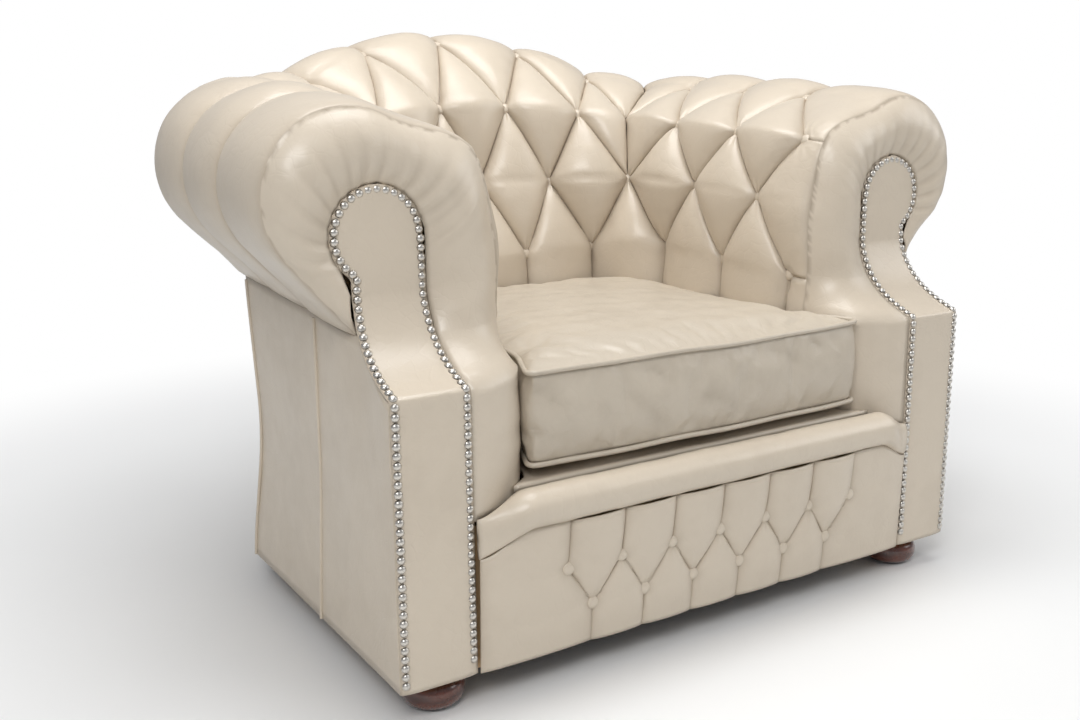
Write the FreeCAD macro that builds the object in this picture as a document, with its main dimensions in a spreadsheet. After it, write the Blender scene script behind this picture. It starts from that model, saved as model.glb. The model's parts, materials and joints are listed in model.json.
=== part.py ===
import FreeCAD, Part
import Sketcher
import math
import os
from FreeCAD import Vector

# Chesterfield armchair: a deep-buttoned tub on a timber frame, with a loose seat cushion.
# Millimetres, +Z up. X runs across the chair, the front faces -Y.
# The origin is on the floor, under the middle of the chair's box.

os.makedirs("parts", exist_ok=True)
doc = FreeCAD.newDocument("chesterfield_armchair")
sheet = doc.addObject("Spreadsheet::Sheet", "sizes")

# Driving sizes
SIZES = [
    # the whole
    ("depth", 928.9, "front of the lip to the back of the roll"),
    ("lip_proud", 34, "lip in front of the facings"),
    ("base_height", 45, "underside of the base above the floor"),
    ("seam_gap", 0.35, "gap between covers that meet"),
    ("fit", 0.3, "gap between pieces that seat on each other"),
    # the arms, heights above the floor and distances back from the facings
    ("cover_bottom", 236, "lower edge of the inside covers"),
    ("arm_inside", 263, "inside arm at the lowest buttons, from the middle"),
    ("arm_fall", 0.055, "drop of the arm for each millimetre forward"),
    ("arm_level", 450, "distance back where the arm's heights are measured"),
    ("roll_radius", 102, "radius of the arm's roll"),
    ("roll_radius_back", 87, "radius of the roll in the middle of the back"),
    ("crest_angle", 118, "place of the top buttons on the roll, in degrees"),
    ("neck_drop", 155, "neck below the middle of the arm's roll"),
    # rows of buttons: height and distance at the middle of the back, and at the arm
    ("c_back", 583, "row C, lowest: distance back"),
    ("c_bow", 26, "row C: how far its ends come forward"),
    ("c_height", 448, "row C: height at the back"),
    ("c_arm_height", 465, "row C: height at the arm"),
    ("b_back", 630, "row B"),
    ("b_bow", 110, "row B"),
    ("b_side", 265, "row B at the arm, from the middle"),
    ("b_height", 567, "row B"),
    ("b_arm_height", 572, "row B"),
    ("a_back", 647, "row A"),
    ("a_bow", 84, "row A"),
    ("a_side", 285, "row A"),
    ("a_height", 691, "row A"),
    ("a_arm_height", 661, "row A"),
    ("crest_back", 766, "top row"),
    ("crest_bow", 143, "top row"),
    ("crest_side", 400, "top row"),
    ("crest_height", 799, "top row"),
    ("crest_arm_height", 711, "top row"),
    ("dome_flat", 50, "half of the level stretch in the middle of the crest"),
    ("dome_run", 330, "width over which the crest comes down"),
    # spacing of the buttons
    ("back_pitch", 127, "between buttons along the back"),
    ("crest_pitch", 150, "between the first top buttons"),
    ("crest_second", 272, "second top button, from the middle"),
    ("crest_corner", 366, "corner button of the top row, from the middle"),
    ("a_corner", 268, "corner button of row A, from the middle"),
    ("b_corner", 247, "corner button of row B, from the middle"),
    ("arm_pitch", 147, "between buttons along the arm"),
    ("crest_first", 267, "front top button, back from the facing"),
    ("crest_arm_pitch", 141, "between top buttons along the arm"),
    # padding
    ("puff", 27, "rise of a full puff over its pleats"),
    ("roll_puff", 8, "rise of a strip on the outside of the roll"),
    ("low_puff", 12, "rise of the strips beside the cushion"),
    ("pleat_lift", 7, "rise of a pleat between two buttons"),
    ("well", 13, "radius of the hollow round a button"),
    ("wadding", 14, "cover and wadding under the pleats"),
    ("foam", 26, "foam under the wadding"),
    ("button_radius", 8.5, "covered button"),
    ("button_height", 7, "covered button"),
    ("button_neck", 3.5, "underside of a button, sunk between the puffs"),
    ("front_turn", 112, "where the inside arm starts to turn to its front"),
    # facings
    ("facing_inner", 360, "inner edge of a facing, from the middle"),
    ("facing_outer", 460, "outer edge of a facing, from the middle"),
    ("facing_knee", 395, "height where the facing starts to lean back"),
    ("facing_shoulder", 495, "height where it stands upright again"),
    ("head_back", 104, "head of the facing behind its foot"),
    ("head_height", 561, "middle of the head above the floor"),
    ("head_middle", 420, "middle of the head, from the middle of the chair"),
    ("head_radius", 57, "outer edge of the head"),
    ("facing_leather", 4, "facing leather and its card"),
    ("facing_block", 30, "timber of the facing"),
    ("nail_inset", 5, "nail row inside the facing's edge"),
    ("nail_pitch", 11, "between nails"),
    ("nail_radius", 5, "nail head"),
    ("nail_height", 3.2, "nail head"),
    # base
    ("seam_back", 512, "rear corner seam behind the facings"),
    ("base_half", 463, "half width of the base at the floor end"),
    ("base_back", 792, "back of the base behind the facings"),
    ("waist", 25, "how far the outside draws in at the rear corner"),
    ("waist_height", 235, "height of the narrowest place"),
    ("panel", 6, "outside panel, board and leather"),
    ("piping_radius", 3.5, "outside piping"),
    ("front_seam_back", 245, "front side seam behind the facings"),
    ("former_first", 150, "first plywood former behind the facings"),
    ("former_pitch", 140, "between the formers of an arm"),
    # front border and lip
    ("border_top", 219, "top of the front border"),
    ("border_pitch", 79.65, "between border buttons"),
    ("border_upper", 154.5, "height of the upper border buttons"),
    ("border_lower", 98, "height of the lower border buttons"),
    ("border_upper_set", 12, "upper buttons in front of the facings"),
    ("border_lower_set", 6, "lower buttons in front of the facings"),
    ("border_puff", 9, "rise of a border puff"),
    ("border_well", 9, "radius of the hollow round a border button"),
    ("border_back", 12, "back of the border behind the facings"),
    ("lip_top", 267, "top of the lip"),
    # seat
    ("rail", 28, "thickness of the seat rails"),
    ("side_rail_in", 404, "side rail from the middle"),
    ("corner_post", 40, "rear post, square"),
    ("post_set", 45, "front of the rear posts before the corner seam"),
    ("corner_block", 50, "corner block, front to back"),
    ("corner_block_height", 60, "corner block"),
    ("side_rail_height", 105, "side and rear seat rails"),
    ("rail_set", 20, "rear rail inside the waist of the back"),
    ("stuffing_rail_height", 70, "stuffing rails over the seat rails"),
    ("crest_rail", 26, "crest rail, front to back"),
    ("crest_rail_height", 18, "crest rail"),
    ("crest_rail_set", 45, "crest rail before the middle of the roll"),
    ("crest_rail_arc", 776, "radius of the crest rail"),
    ("crest_rail_reach", 335, "end of the crest rail, from the middle"),
    ("stile_width", 34, "back stile"),
    ("stile_depth", 16, "back stile"),
    ("rail_top", 226, "top of the seat rails"),
    ("webbing", 2, "thickness of the webbing"),
    ("webbing_width", 50, "width of a web"),
    ("deck_top", 267, "top of the seat platform"),
    ("deck_half", 244, "half width of the platform"),
    ("deck_back", 540, "back of the platform behind the facings"),
    ("corner_cut", 88, "slanted rear corner of platform and cushion"),
    ("cushion_lower", 283, "height of the lower cushion seam"),
    ("cushion_upper", 396, "height of the upper cushion seam"),
    ("cushion_crown", 13, "rise of the cushion over its upper seam"),
    ("cushion_sag", 15.7, "belly of the cushion below its lower seam"),
    ("cushion_half", 233.5, "half width between the arms"),
    ("cushion_front_half", 274, "half width at the front"),
    ("cushion_back", 534, "back of the cushion behind the facings"),
    ("cushion_front", 14, "front seam of the cushion behind the facings"),
    ("cushion_bulge", 7, "swell of the cushion's sides"),
    ("cushion_cloth", 3, "leather and lining of the cushion"),
    # feet
    ("foot_radius", 39, "bun foot"),
    ("foot_in", 398, "front feet from the middle"),
    ("foot_front", 48, "front feet behind the facings"),
    ("bolt_radius", 4, "hanger bolt"),
]
for number, (alias, value, note) in enumerate(SIZES, start=1):
    sheet.set("A%d" % number, alias)
    sheet.set("B%d" % number, str(value))
    sheet.set("C%d" % number, note)
    sheet.setAlias("B%d" % number, alias)
doc.recompute()


def size(alias):
    return float(getattr(sheet, alias))


FACE = -size("depth") / 2 + size("lip_proud")
FACE_TEXT = "(-sizes.depth / 2 + sizes.lip_proud)"
UP = Vector(0, 0, 1)
FORWARD = Vector(0, -1, 0)
ARC_STEPS = 6
NODES = []


def keep(item, label):
    """Names a sub-part and puts it on the list of those written out."""
    item.Label = label
    NODES.append(item)
    return item


def feature(label, shape):
    item = doc.addObject("Part::Feature", label)
    item.Shape = shape
    return keep(item, label)


def twin(source, label):
    """The left-hand piece: its right-hand one, mirrored."""
    item = doc.addObject("Part::Mirroring", label)
    item.Source = source
    item.Base = Vector(0, 0, 0)
    item.Normal = Vector(1, 0, 0)
    return keep(item, label)


def box(label, x, y, z, length, width, height, listed=True):
    """A timber or block; each size is an expression on the sheet, y counts from the facings."""
    item = doc.addObject("Part::Box", label)
    item.setExpression("Length", length)
    item.setExpression("Width", width)
    item.setExpression("Height", height)
    item.setExpression(".Placement.Base.x", x)
    item.setExpression(".Placement.Base.y", FACE_TEXT + " + " + y)
    item.setExpression(".Placement.Base.z", z)
    return keep(item, label) if listed else item


def origin_plane(body, role):
    return next(f for f in body.Origin.OriginFeatures if f.Role == role)


def outline_body(label, role, points, depth, shift=None, listed=True):
    """A Body padded from a closed outline; each corner is a pair of expressions."""
    body = doc.addObject("PartDesign::Body", label + "_body")
    sketch = body.newObject("Sketcher::SketchObject", label + "_outline")
    sketch.AttachmentSupport = (origin_plane(body, role), [""])
    sketch.MapMode = "FlatFace"
    count = len(points)
    rough = [Vector(math.cos(i * math.tau / count), math.sin(i * math.tau / count), 0) * 100
             for i in range(count)]
    for i in range(count):
        sketch.addGeometry(Part.LineSegment(rough[i], rough[(i + 1) % count]), False)
    for i in range(count):
        sketch.addConstraint(Sketcher.Constraint("Coincident", i, 2, (i + 1) % count, 1))
    for i, (across, upward) in enumerate(points):
        for kind, text in (("DistanceX", across), ("DistanceY", upward)):
            where = rough[i].x if kind == "DistanceX" else rough[i].y
            index = sketch.addConstraint(Sketcher.Constraint(kind, -1, 1, i, 1, where))
            sketch.setExpression("Constraints[%d]" % index, text)
    pad = body.newObject("PartDesign::Pad", label + "_pad")
    pad.Profile = sketch
    pad.setExpression("Length", depth)
    if shift is not None:
        for axis, text in shift.items():
            body.setExpression(".Placement.Base." + axis, text)
    body.Tip = pad
    return keep(body, label) if listed else body


# The padding's net of buttons and pleats


class Spot:
    """A point of the padding and the direction in which it faces."""

    def __init__(self, place, facing):
        self.place = place
        self.facing = Vector(facing).normalize()

    def sunk(self, depth):
        return self.place - self.facing * depth

    def moved(self, step):
        return Spot(self.place + step, self.facing)


class Tuft(Spot):
    """A button's place, with a small flat hollow whose corners are where its pleats start."""

    def __init__(self, place, facing, well, outward=None):
        super().__init__(place, facing)
        self.well = well
        self.outward = outward

    def corner(self, target):
        way = target.place - self.place
        way = way - self.facing * way.dot(self.facing)
        return Spot(self.place + way.normalize() * self.well, self.facing)


def between(first, last, share, lift=0.0):
    facing = (first.facing * (1 - share) + last.facing * share).normalize()
    return Spot(first.place * (1 - share) + last.place * share + facing * lift, facing)


def pleat(first, last, lift=None):
    """The pleat between two buttons, from hollow to hollow."""
    start = first.corner(last)
    end = last.corner(first)
    middle = between(start, end, 0.5, size("pleat_lift") if lift is None else lift)
    return [start, middle, end]


def arc_points(first, top, last):
    return Part.Arc(first, top, last).toShape().discretize(ARC_STEPS + 1)


def swell(left, right, rise):
    """Points on an arc from pleat to pleat, or its two ends where nothing swells."""
    if rise < 0.05:
        return [left.place, right.place]
    facing = (left.facing + right.facing).normalize()
    top = (left.place + right.place) * 0.5 + facing * rise
    return arc_points(left.place, top, right.place)


def strip(first, last):
    """Flat facets from one row of points to the next; the rows may differ in number."""
    facets = []
    i = 0
    j = 0
    while i < len(first) - 1 or j < len(last) - 1:
        first_share = (i + 0.5) / (len(first) - 1)
        last_share = (j + 0.5) / (len(last) - 1)
        if first_share <= last_share:
            corners = [first[i], first[i + 1], last[j]]
            i += 1
        else:
            corners = [first[i], last[j + 1], last[j]]
            j += 1
        facets.append(Part.Face(Part.makePolygon(corners + corners[:1])))
    return facets


def strips(rows):
    return [facet for pair in zip(rows, rows[1:]) for facet in strip(*pair)]


def faceted(rings):
    """A closed solid through rings of equal count: flat facets, its first and last ring closed."""
    facets = [Part.Face(Part.makePolygon(ring + ring[:1])) for ring in (rings[0], rings[-1])]
    for first, last in zip(rings, rings[1:]):
        for i, start in enumerate(first):
            k = (i + 1) % len(first)
            corners = [start, first[k], last[k], last[i]]
            normal = (corners[1] - start).cross(corners[3] - start).normalize()
            if abs((corners[2] - start).dot(normal)) < 1e-6:
                facets.append(Part.Face(Part.makePolygon(corners + [start])))
            else:
                for three in (corners[:3], [start] + corners[2:]):
                    facets.append(Part.Face(Part.makePolygon(three + three[:1])))
    skin = Part.Compound(facets)
    skin.sewShape(0.001)
    made = Part.Solid(skin.Shells[0])
    if made.Volume < 0:
        made.reverse()
    return made


class Pad:
    """A padded layer: puffs between pleats outside, a plain skin inside, closed round its rim."""

    def __init__(self, depth, full_width, start=0.0):
        self.start = start
        self.depth = depth
        self.full_width = full_width
        self.outer = []
        self.inner = []
        self.edges = {}

    def line(self, first, last, depth):
        return [first.sunk(depth), last.sunk(depth)]

    def note(self, left, right, edge=None):
        ends = [(round(p.x, 3), round(p.y, 3), round(p.z, 3)) for p in (left.place, right.place)]
        edge = edge or self.line(left, right, self.start)
        self.edges.setdefault(tuple(sorted(ends)), []).append((left, right, edge))

    def add(self, left, right, outside):
        inside = [self.line(a, b, self.depth) for a, b in zip(left, right)]
        self.outer += strips(outside)
        self.inner += strips(inside)
        for row in (left, right):
            for a, b in zip(row, row[1:]):
                self.note(a, b)
        self.note(left[0], right[0], outside[0])
        self.note(left[-1], right[-1], outside[-1])

    def puff(self, left, right, rises):
        """One puff through arcs; rises gives the full rise at each section. Foam has none."""
        outside = []
        for a, b, rise in zip(left, right, rises):
            if self.start:
                outside.append(self.line(a, b, self.start))
            else:
                share = min(1.0, (b.place - a.place).Length / self.full_width)
                outside.append(swell(a, b, rise * share ** 0.7))
        self.add(left, right, outside)

    def turn(self, left, right, middles):
        """A turn through arcs whose middle points are given."""
        self.add(left, right, [arc_points(a.place, top, b.place)
                               for a, b, top in zip(left, right, middles)])

    def hollow(self, tuft, targets, rim=False):
        """The flat bottom under a button, a polygon through the starts of its pleats."""
        corners = [tuft.corner(target) for target in targets]
        if rim:
            corners.append(tuft)
        ring = corners + [corners[0]]
        for skin, depth in ((self.outer, self.start), (self.inner, self.depth)):
            skin.append(Part.Face(Part.makePolygon([spot.sunk(depth) for spot in ring])))
        for a, b in zip(ring, ring[1:]):
            self.note(a, b)

    def solid(self):
        walls = []
        for uses in self.edges.values():
            if len(uses) == 1:
                left, right, edge = uses[0]
                walls += strip(edge, self.line(left, right, self.depth))
        skin = Part.Compound(self.outer + self.inner + walls)
        skin.sewShape(0.01)
        made = Part.Solid(skin.Shells[0])
        if made.Volume < 0:
            made.reverse()
        print("layer:", len(skin.Faces), "faces,", len(skin.Shells), "shell, closed",
              skin.Shells[0].isClosed(), "volume", round(made.Volume / 1000), "cm3")
        return made


def smooth(value):
    value = max(0.0, min(1.0, value))
    return value * value * (3 - 2 * value)


def dome(across):
    """1 in the middle of the back, 0 at the arms."""
    return 1 - smooth((abs(across) - size("dome_flat")) / size("dome_run"))


class Row:
    """One row of buttons round the tub."""

    def __init__(self, name, side, angle):
        self.back = size(name + "_back")
        self.bow = size(name + "_bow")
        self.high = size(name + "_height")
        self.arm_high = size(name + "_arm_height")
        self.side = side
        self.angle = math.radians(angle)

    def facing(self, outward):
        return outward * math.cos(self.angle) + UP * math.sin(self.angle)

    def at_back(self, x):
        """A button in the curved back, by its distance from the middle."""
        y = FACE + self.back - self.bow * (x / self.side) ** 2
        outward = Vector(2 * self.bow * x / self.side ** 2, 1, 0).normalize()
        z = self.arm_high + (self.high - self.arm_high) * dome(x)
        return Tuft(Vector(x, y, z), self.facing(outward), size("well"), outward)

    def at_arm(self, back):
        """A button in the right arm, by its distance behind the facings."""
        z = self.arm_high - size("arm_fall") * (size("arm_level") - back)
        return Tuft(Vector(self.side, FACE + back, z), self.facing(Vector(1, 0, 0)), size("well"),
                    Vector(1, 0, 0))


ROW_T = Row("crest", size("crest_side"), size("crest_angle"))
ROW_A = Row("a", size("a_side"), 152)
ROW_B = Row("b", size("b_side"), 168)
ROW_C = Row("c", size("arm_inside"), 178)

ROLL_ANGLES = (96, 64, 30, -6, -44)


def roll_radius(outward):
    """The roll is slimmer in the middle of the back than on the arms."""
    return size("roll_radius") + (size("roll_radius_back") - size("roll_radius")) * outward.y ** 2


def over(tuft):
    """The line of a top button over the roll and down to its neck."""
    radius = roll_radius(tuft.outward)
    middle = tuft.place - tuft.facing * radius
    line = []
    for angle in ROLL_ANGLES:
        turn = math.radians(angle)
        facing = tuft.outward * math.cos(turn) + UP * math.sin(turn)
        line.append(Spot(middle + facing * radius, facing))
    neck_drop = size("neck_drop") * radius / size("roll_radius")
    facing = tuft.outward * math.cos(math.radians(-20)) + UP * math.sin(math.radians(-20))
    line.append(Spot(middle - UP * neck_drop, facing))
    return line


def flip(thing):
    """The same spot, button or line on the left."""
    if isinstance(thing, list):
        return [flip(item) for item in thing]
    mirror = Vector(-thing.place.x, thing.place.y, thing.place.z)
    facing = Vector(-thing.facing.x, thing.facing.y, thing.facing.z)
    if isinstance(thing, Tuft):
        outward = Vector(-thing.outward.x, thing.outward.y, 0)
        return Tuft(mirror, facing, thing.well, outward)
    return Spot(mirror, facing)


# Buttons of the back and corner, right half, and of the right arm
T = [ROW_T.at_back(0), ROW_T.at_back(size("crest_pitch")), ROW_T.at_back(size("crest_second")),
     ROW_T.at_back(size("crest_corner"))]
T += [ROW_T.at_arm(size("crest_first") + k * size("crest_arm_pitch")) for k in (2, 1, 0)]
A = [None, ROW_A.at_back(size("back_pitch") / 2), ROW_A.at_back(size("back_pitch") * 1.5),
     ROW_A.at_back(size("a_corner"))]
A += [ROW_A.at_arm(k * size("arm_pitch")) for k in (3, 2, 1)]
B = [ROW_B.at_back(0), ROW_B.at_back(size("back_pitch")), ROW_B.at_back(size("b_corner"))]
B += [ROW_B.at_arm(k * size("arm_pitch")) for k in (2.5, 1.5)]
C = [None, ROW_C.at_back(size("back_pitch") / 2), ROW_C.at_back(size("back_pitch") * 1.5)]
C += [ROW_C.at_arm(k * size("arm_pitch")) for k in (3, 2, 1)]


def down(tuft):
    """The straight pleat from a lowest button to the cover's lower edge."""
    foot = Vector(tuft.place.x, tuft.place.y, size("cover_bottom"))
    end = Spot(foot, tuft.outward * -1)
    start = tuft.corner(end)
    return [start, between(start, end, 0.5), end]


PUFF = size("puff")
LOW = size("low_puff")
DIAMOND = (0, PUFF, PUFF, PUFF, PUFF, 0)
LOWER = (0, PUFF, PUFF, PUFF, LOW, LOW)
OVER = (0, PUFF, PUFF, 18, 15, 11) + (size("roll_puff"),) * 3 + (0,)


def diamond(pad, top, left, right, bottom):
    pad.puff(pleat(top, left) + pleat(left, bottom), pleat(top, right) + pleat(right, bottom),
             DIAMOND)


def lower(pad, top, left, right):
    pad.puff(pleat(top, left) + down(left), pleat(top, right) + down(right), LOWER)


def over_strip(pad, tip, left, right):
    pad.puff(pleat(tip, left) + [left.corner(over(left)[0])] + over(left),
             pleat(tip, right) + [right.corner(over(right)[0])] + over(right), OVER)


def up_target(tuft):
    return over(tuft)[0]


def down_target(tuft):
    return down(tuft)[-1]


def back_layer(pad):
    """The inside back with its two corners, from seam to seam."""
    diamond(pad, T[0], flip(A[1]), A[1], B[0])
    lower(pad, B[0], flip(C[1]), C[1])
    pad.hollow(T[0], (flip(A[1]), up_target(T[0]), A[1]))
    pad.hollow(B[0], (flip(A[1]), A[1], C[1], flip(C[1])))
    for side in (lambda thing: thing, flip):
        t = [side(item) for item in T[:4]]
        a = [None] + [side(item) for item in A[1:5]]
        b = [side(item) for item in B[:3]]
        c = [None] + [side(item) for item in C[1:4]]
        over_strip(pad, a[1], t[0], t[1])
        over_strip(pad, a[2], t[1], t[2])
        over_strip(pad, a[3], t[2], t[3])
        diamond(pad, t[1], a[1], a[2], b[1])
        diamond(pad, t[2], a[2], a[3], b[2])
        diamond(pad, a[1], b[0], b[1], c[1])
        diamond(pad, a[2], b[1], b[2], c[2])
        lower(pad, b[1], c[1], c[2])
        lower(pad, b[2], c[2], c[3])
        pad.hollow(t[1], (a[1], up_target(t[1]), a[2]))
        pad.hollow(t[2], (a[2], up_target(t[2]), a[3]))
        pad.hollow(t[3], (a[3], up_target(t[3])), rim=True)
        pad.hollow(a[1], (t[0], t[1], b[1], b[0]))
        pad.hollow(a[2], (t[1], t[2], b[2], b[1]))
        pad.hollow(a[3], (b[2], t[2], t[3]), rim=True)
        pad.hollow(b[1], (a[1], a[2], c[2], c[1]))
        pad.hollow(b[2], (c[3], c[2], a[2], a[3]), rim=True)
        pad.hollow(c[1], (b[0], b[1], down_target(c[1])))
        pad.hollow(c[2], (b[1], b[2], down_target(c[2])))
        pad.hollow(c[3], (b[2], down_target(c[3])), rim=True)
    return pad.solid()


# The facing's lean above its knee: shares of the height to the shoulder and of the way back
LEAN = ((0.0, 0.0), (0.16, 0.385), (0.35, 0.625), (0.53, 0.79), (0.79, 0.94), (1.0, 1.0))


def facing_back(z):
    """How far the facing lies behind its foot at a height."""
    knee = size("facing_knee")
    share = (z - knee) / (size("facing_shoulder") - knee)
    if share <= 0:
        return 0.0
    for (low, near), (high, far) in zip(LEAN, LEAN[1:]):
        if share < high:
            return size("head_back") * (near + (far - near) * (share - low) / (high - low))
    return size("head_back")


def lean_height(share):
    return size("facing_knee") + (size("facing_shoulder") - size("facing_knee")) * share


def rim_spot(x, z):
    """A place on the edge of the facing, just behind its leather."""
    return Spot(Vector(x, FACE + facing_back(z) + 1, z), Vector(0, -1, 0))


def head_spot(angle):
    """A place round the head, far enough out for straight edges between places to clear it."""
    turn = math.radians(angle)
    radius = (size("head_radius") + size("fit")) / math.cos(math.radians(15))
    return rim_spot(size("head_middle") + radius * math.cos(turn),
                    size("head_height") + radius * math.sin(turn))


def front_turn(pad, left):
    """The cover turns from its fold to the edge of the facing."""
    inner_edge = size("facing_inner") - size("fit")
    right = [rim_spot(size("facing_outer") - 5, size("facing_shoulder"))]
    right += [head_spot(angle) for angle in (-38, -8, 22, 52, 82, 100, 116, 140, 158)]
    head = size("head_height")
    heights = [head + 4, head - 20, head - 42] + [lean_height(LEAN[k][0]) for k in (5, 4, 3, 2, 1, 0)]
    heights += [size("facing_knee") - 60, size("cover_bottom")]
    right += [rim_spot(inner_edge, z) for z in heights]
    middles = []
    for a, b in zip(left, right):
        run = b.place - a.place
        way = FORWARD + a.facing * 0.7
        way = (way - run * (way.dot(run) / run.dot(run))).normalize()
        middles.append((a.place + b.place) * 0.5 + way * run.Length * 0.24)
    pad.turn(left, right, middles)


def arm_layer(pad):
    """The inside of the right arm: from the corner seam over the roll and round the front."""
    over_strip(pad, A[3], T[3], T[4])
    over_strip(pad, A[4], T[4], T[5])
    over_strip(pad, A[5], T[5], T[6])
    diamond(pad, T[4], A[3], A[4], B[2])
    diamond(pad, T[5], A[4], A[5], B[3])
    diamond(pad, T[6], A[5], A[6], B[4])
    diamond(pad, A[4], B[2], B[3], C[3])
    diamond(pad, A[5], B[3], B[4], C[4])
    lower(pad, B[3], C[3], C[4])
    lower(pad, B[4], C[4], C[5])
    # the fold where the arm starts to turn to the front
    fold = {}
    for name, row in (("t", ROW_T), ("a", ROW_A), ("b", ROW_B), ("c", ROW_C)):
        fold[name] = row.at_arm(size("front_turn"))
    roll_line = over(fold["t"])
    foot = down(fold["c"])[-1]
    roll_left = ([A[6].corner(fold["a"])] + pleat(A[6], T[6]) + [T[6].corner(over(T[6])[0])]
                 + over(T[6]))
    roll_right = [fold["a"], between(fold["a"], fold["t"], 0.12), between(fold["a"], fold["t"], 0.5),
                  between(fold["a"], fold["t"], 0.88), fold["t"]] + roll_line
    pad.puff(roll_left, roll_right, (0, 12, 15, 15, 14, 12, 10, 8, 8, 8, 0))
    inner_left = ([A[6].corner(fold["a"])] + pleat(A[6], B[4]) + pleat(B[4], C[5])
                  + [C[5].corner(fold["c"])])
    inner_right = [fold["a"], between(fold["a"], fold["b"], 0.15), between(fold["a"], fold["b"], 0.5),
                   between(fold["a"], fold["b"], 0.88), between(fold["b"], fold["c"], 0.12),
                   between(fold["b"], fold["c"], 0.5), between(fold["b"], fold["c"], 0.85), fold["c"]]
    pad.puff(inner_left, inner_right, (0, 10, 20, 24, 24, 20, 10, 0))
    low_left = [C[5].corner(fold["c"])] + down(C[5])
    knee_share = ((fold["c"].place.z - size("facing_knee"))
                  / (fold["c"].place.z - size("cover_bottom")))
    low_right = [fold["c"], between(fold["c"], foot, knee_share), between(fold["c"], foot, 0.5),
                 foot]
    pad.puff(low_left, low_right, (0, 8, 10, 10))
    if not pad.start:
        front_turn(pad, roll_right[:0:-1] + inner_right + low_right[1:])
    # hollows of the buttons
    pad.hollow(T[3], (up_target(T[3]), A[3]), rim=True)
    pad.hollow(T[4], (A[3], up_target(T[4]), A[4]))
    pad.hollow(T[5], (A[4], up_target(T[5]), A[5]))
    pad.hollow(T[6], (A[5], up_target(T[6]), A[6]))
    pad.hollow(A[3], (T[3], T[4], B[2]), rim=True)
    pad.hollow(A[4], (T[4], T[5], B[3], B[2]))
    pad.hollow(A[5], (T[5], T[6], B[4], B[3]))
    pad.hollow(A[6], (T[6], fold["a"], B[4]))
    pad.hollow(B[2], (A[3], A[4], C[3]), rim=True)
    pad.hollow(B[3], (A[4], A[5], C[4], C[3]))
    pad.hollow(B[4], (A[5], A[6], C[5], C[4]))
    pad.hollow(C[3], (down_target(C[3]), B[3], B[2]), rim=True)
    pad.hollow(C[4], (B[3], B[4], down_target(C[4])))
    pad.hollow(C[5], (B[4], fold["c"], down_target(C[5])))
    return pad.solid()


# Inside covers, foam and buttons

SEAM_STEP = Vector(size("seam_gap"), -size("seam_gap"), 0)
WADDING = size("wadding")
FOAM_START = WADDING + size("fit")
FOAM_END = FOAM_START + size("foam")

back_cover = back_layer(Pad(WADDING, size("back_pitch")))
feature("inside_back_cover", back_cover)
feature("back_foam", back_layer(Pad(FOAM_END, size("back_pitch"), FOAM_START)))
arm_shape = arm_layer(Pad(WADDING, size("arm_pitch")))
arm_shape.translate(SEAM_STEP)
arm_cover = feature("inside_arm_cover_right", arm_shape)
block_end = size("head_back") + size("facing_leather") + size("facing_block") + size("fit")
head_room = Part.makeCylinder(size("head_radius") + size("fit"), 60,
                              Vector(size("head_middle"), FACE + block_end, size("head_height")), FORWARD)
neck_room = Part.makeBox(size("facing_outer") - size("facing_inner"), 60,
                         size("head_height") - size("facing_knee"),
                         Vector(size("facing_inner") - size("fit"), FACE + block_end - 60,
                                size("facing_knee")))
turn_end = FACE + size("head_back") + WADDING + 1 + size("fit")
turn_room = Part.makeBox(400, 200, 400, Vector(size("arm_inside"), turn_end - 200,
                                               size("facing_shoulder") - 35))
foam_shape = arm_layer(Pad(FOAM_END, size("arm_pitch"), FOAM_START))
foam_shape.translate(SEAM_STEP)
corner_room = Part.makeBox(28, 28, 28, T[3].sunk(WADDING) - Vector(14, 14, 14))
for room in (head_room, neck_room, turn_room, corner_room):
    foam_shape = foam_shape.cut(room)
arm_foam = feature("arm_foam_right", foam_shape)
twin(arm_cover, "inside_arm_cover_left")
twin(arm_foam, "arm_foam_left")


def prism(spot, profile, sides):
    """A small faceted dome standing on a spot; the profile lists heights and radii."""
    across = spot.facing.cross(UP if abs(spot.facing.z) < 0.9 else Vector(1, 0, 0)).normalize()
    other = spot.facing.cross(across)
    rings = []
    for level, reach in profile:
        ring = []
        for k in range(sides):
            turn = math.tau * k / sides
            ring.append(spot.place + spot.facing * level + across * (reach * math.cos(turn))
                        + other * (reach * math.sin(turn)))
        rings.append(ring)
    return faceted(rings)


def buttons(label, spots, cover):
    """Covered buttons, each squeezed by the puffs beside it."""
    radius = size("button_radius")
    high = size("button_height")
    profile = ((size("fit"), size("button_neck")), (size("fit") + high * 0.6, radius),
               (size("fit") + high * 0.8, radius * 0.85), (size("fit") + high, radius * 0.45))
    domes = []
    for spot in spots:
        free = prism(spot, profile, 8).cut(cover)
        domes.append(max(free.Solids, key=lambda solid: solid.Volume))
    return feature(label, Part.Compound(domes))


back_spots = [T[0], B[0]] + T[1:3] + A[1:3] + B[1:3] + C[1:3]
back_spots += flip(T[1:3] + A[1:3] + B[1:3] + C[1:3])
buttons("back_buttons", back_spots, back_cover)
arm_spots = [spot.moved(SEAM_STEP) for spot in T[4:] + A[4:] + B[3:] + C[4:]]
arm_buttons = buttons("arm_buttons_right", arm_spots, arm_shape)
twin(arm_buttons, "arm_buttons_left")

# Facings: a shaped timber block, its leather panel and the nails


NECK_STEP = 6


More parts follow.
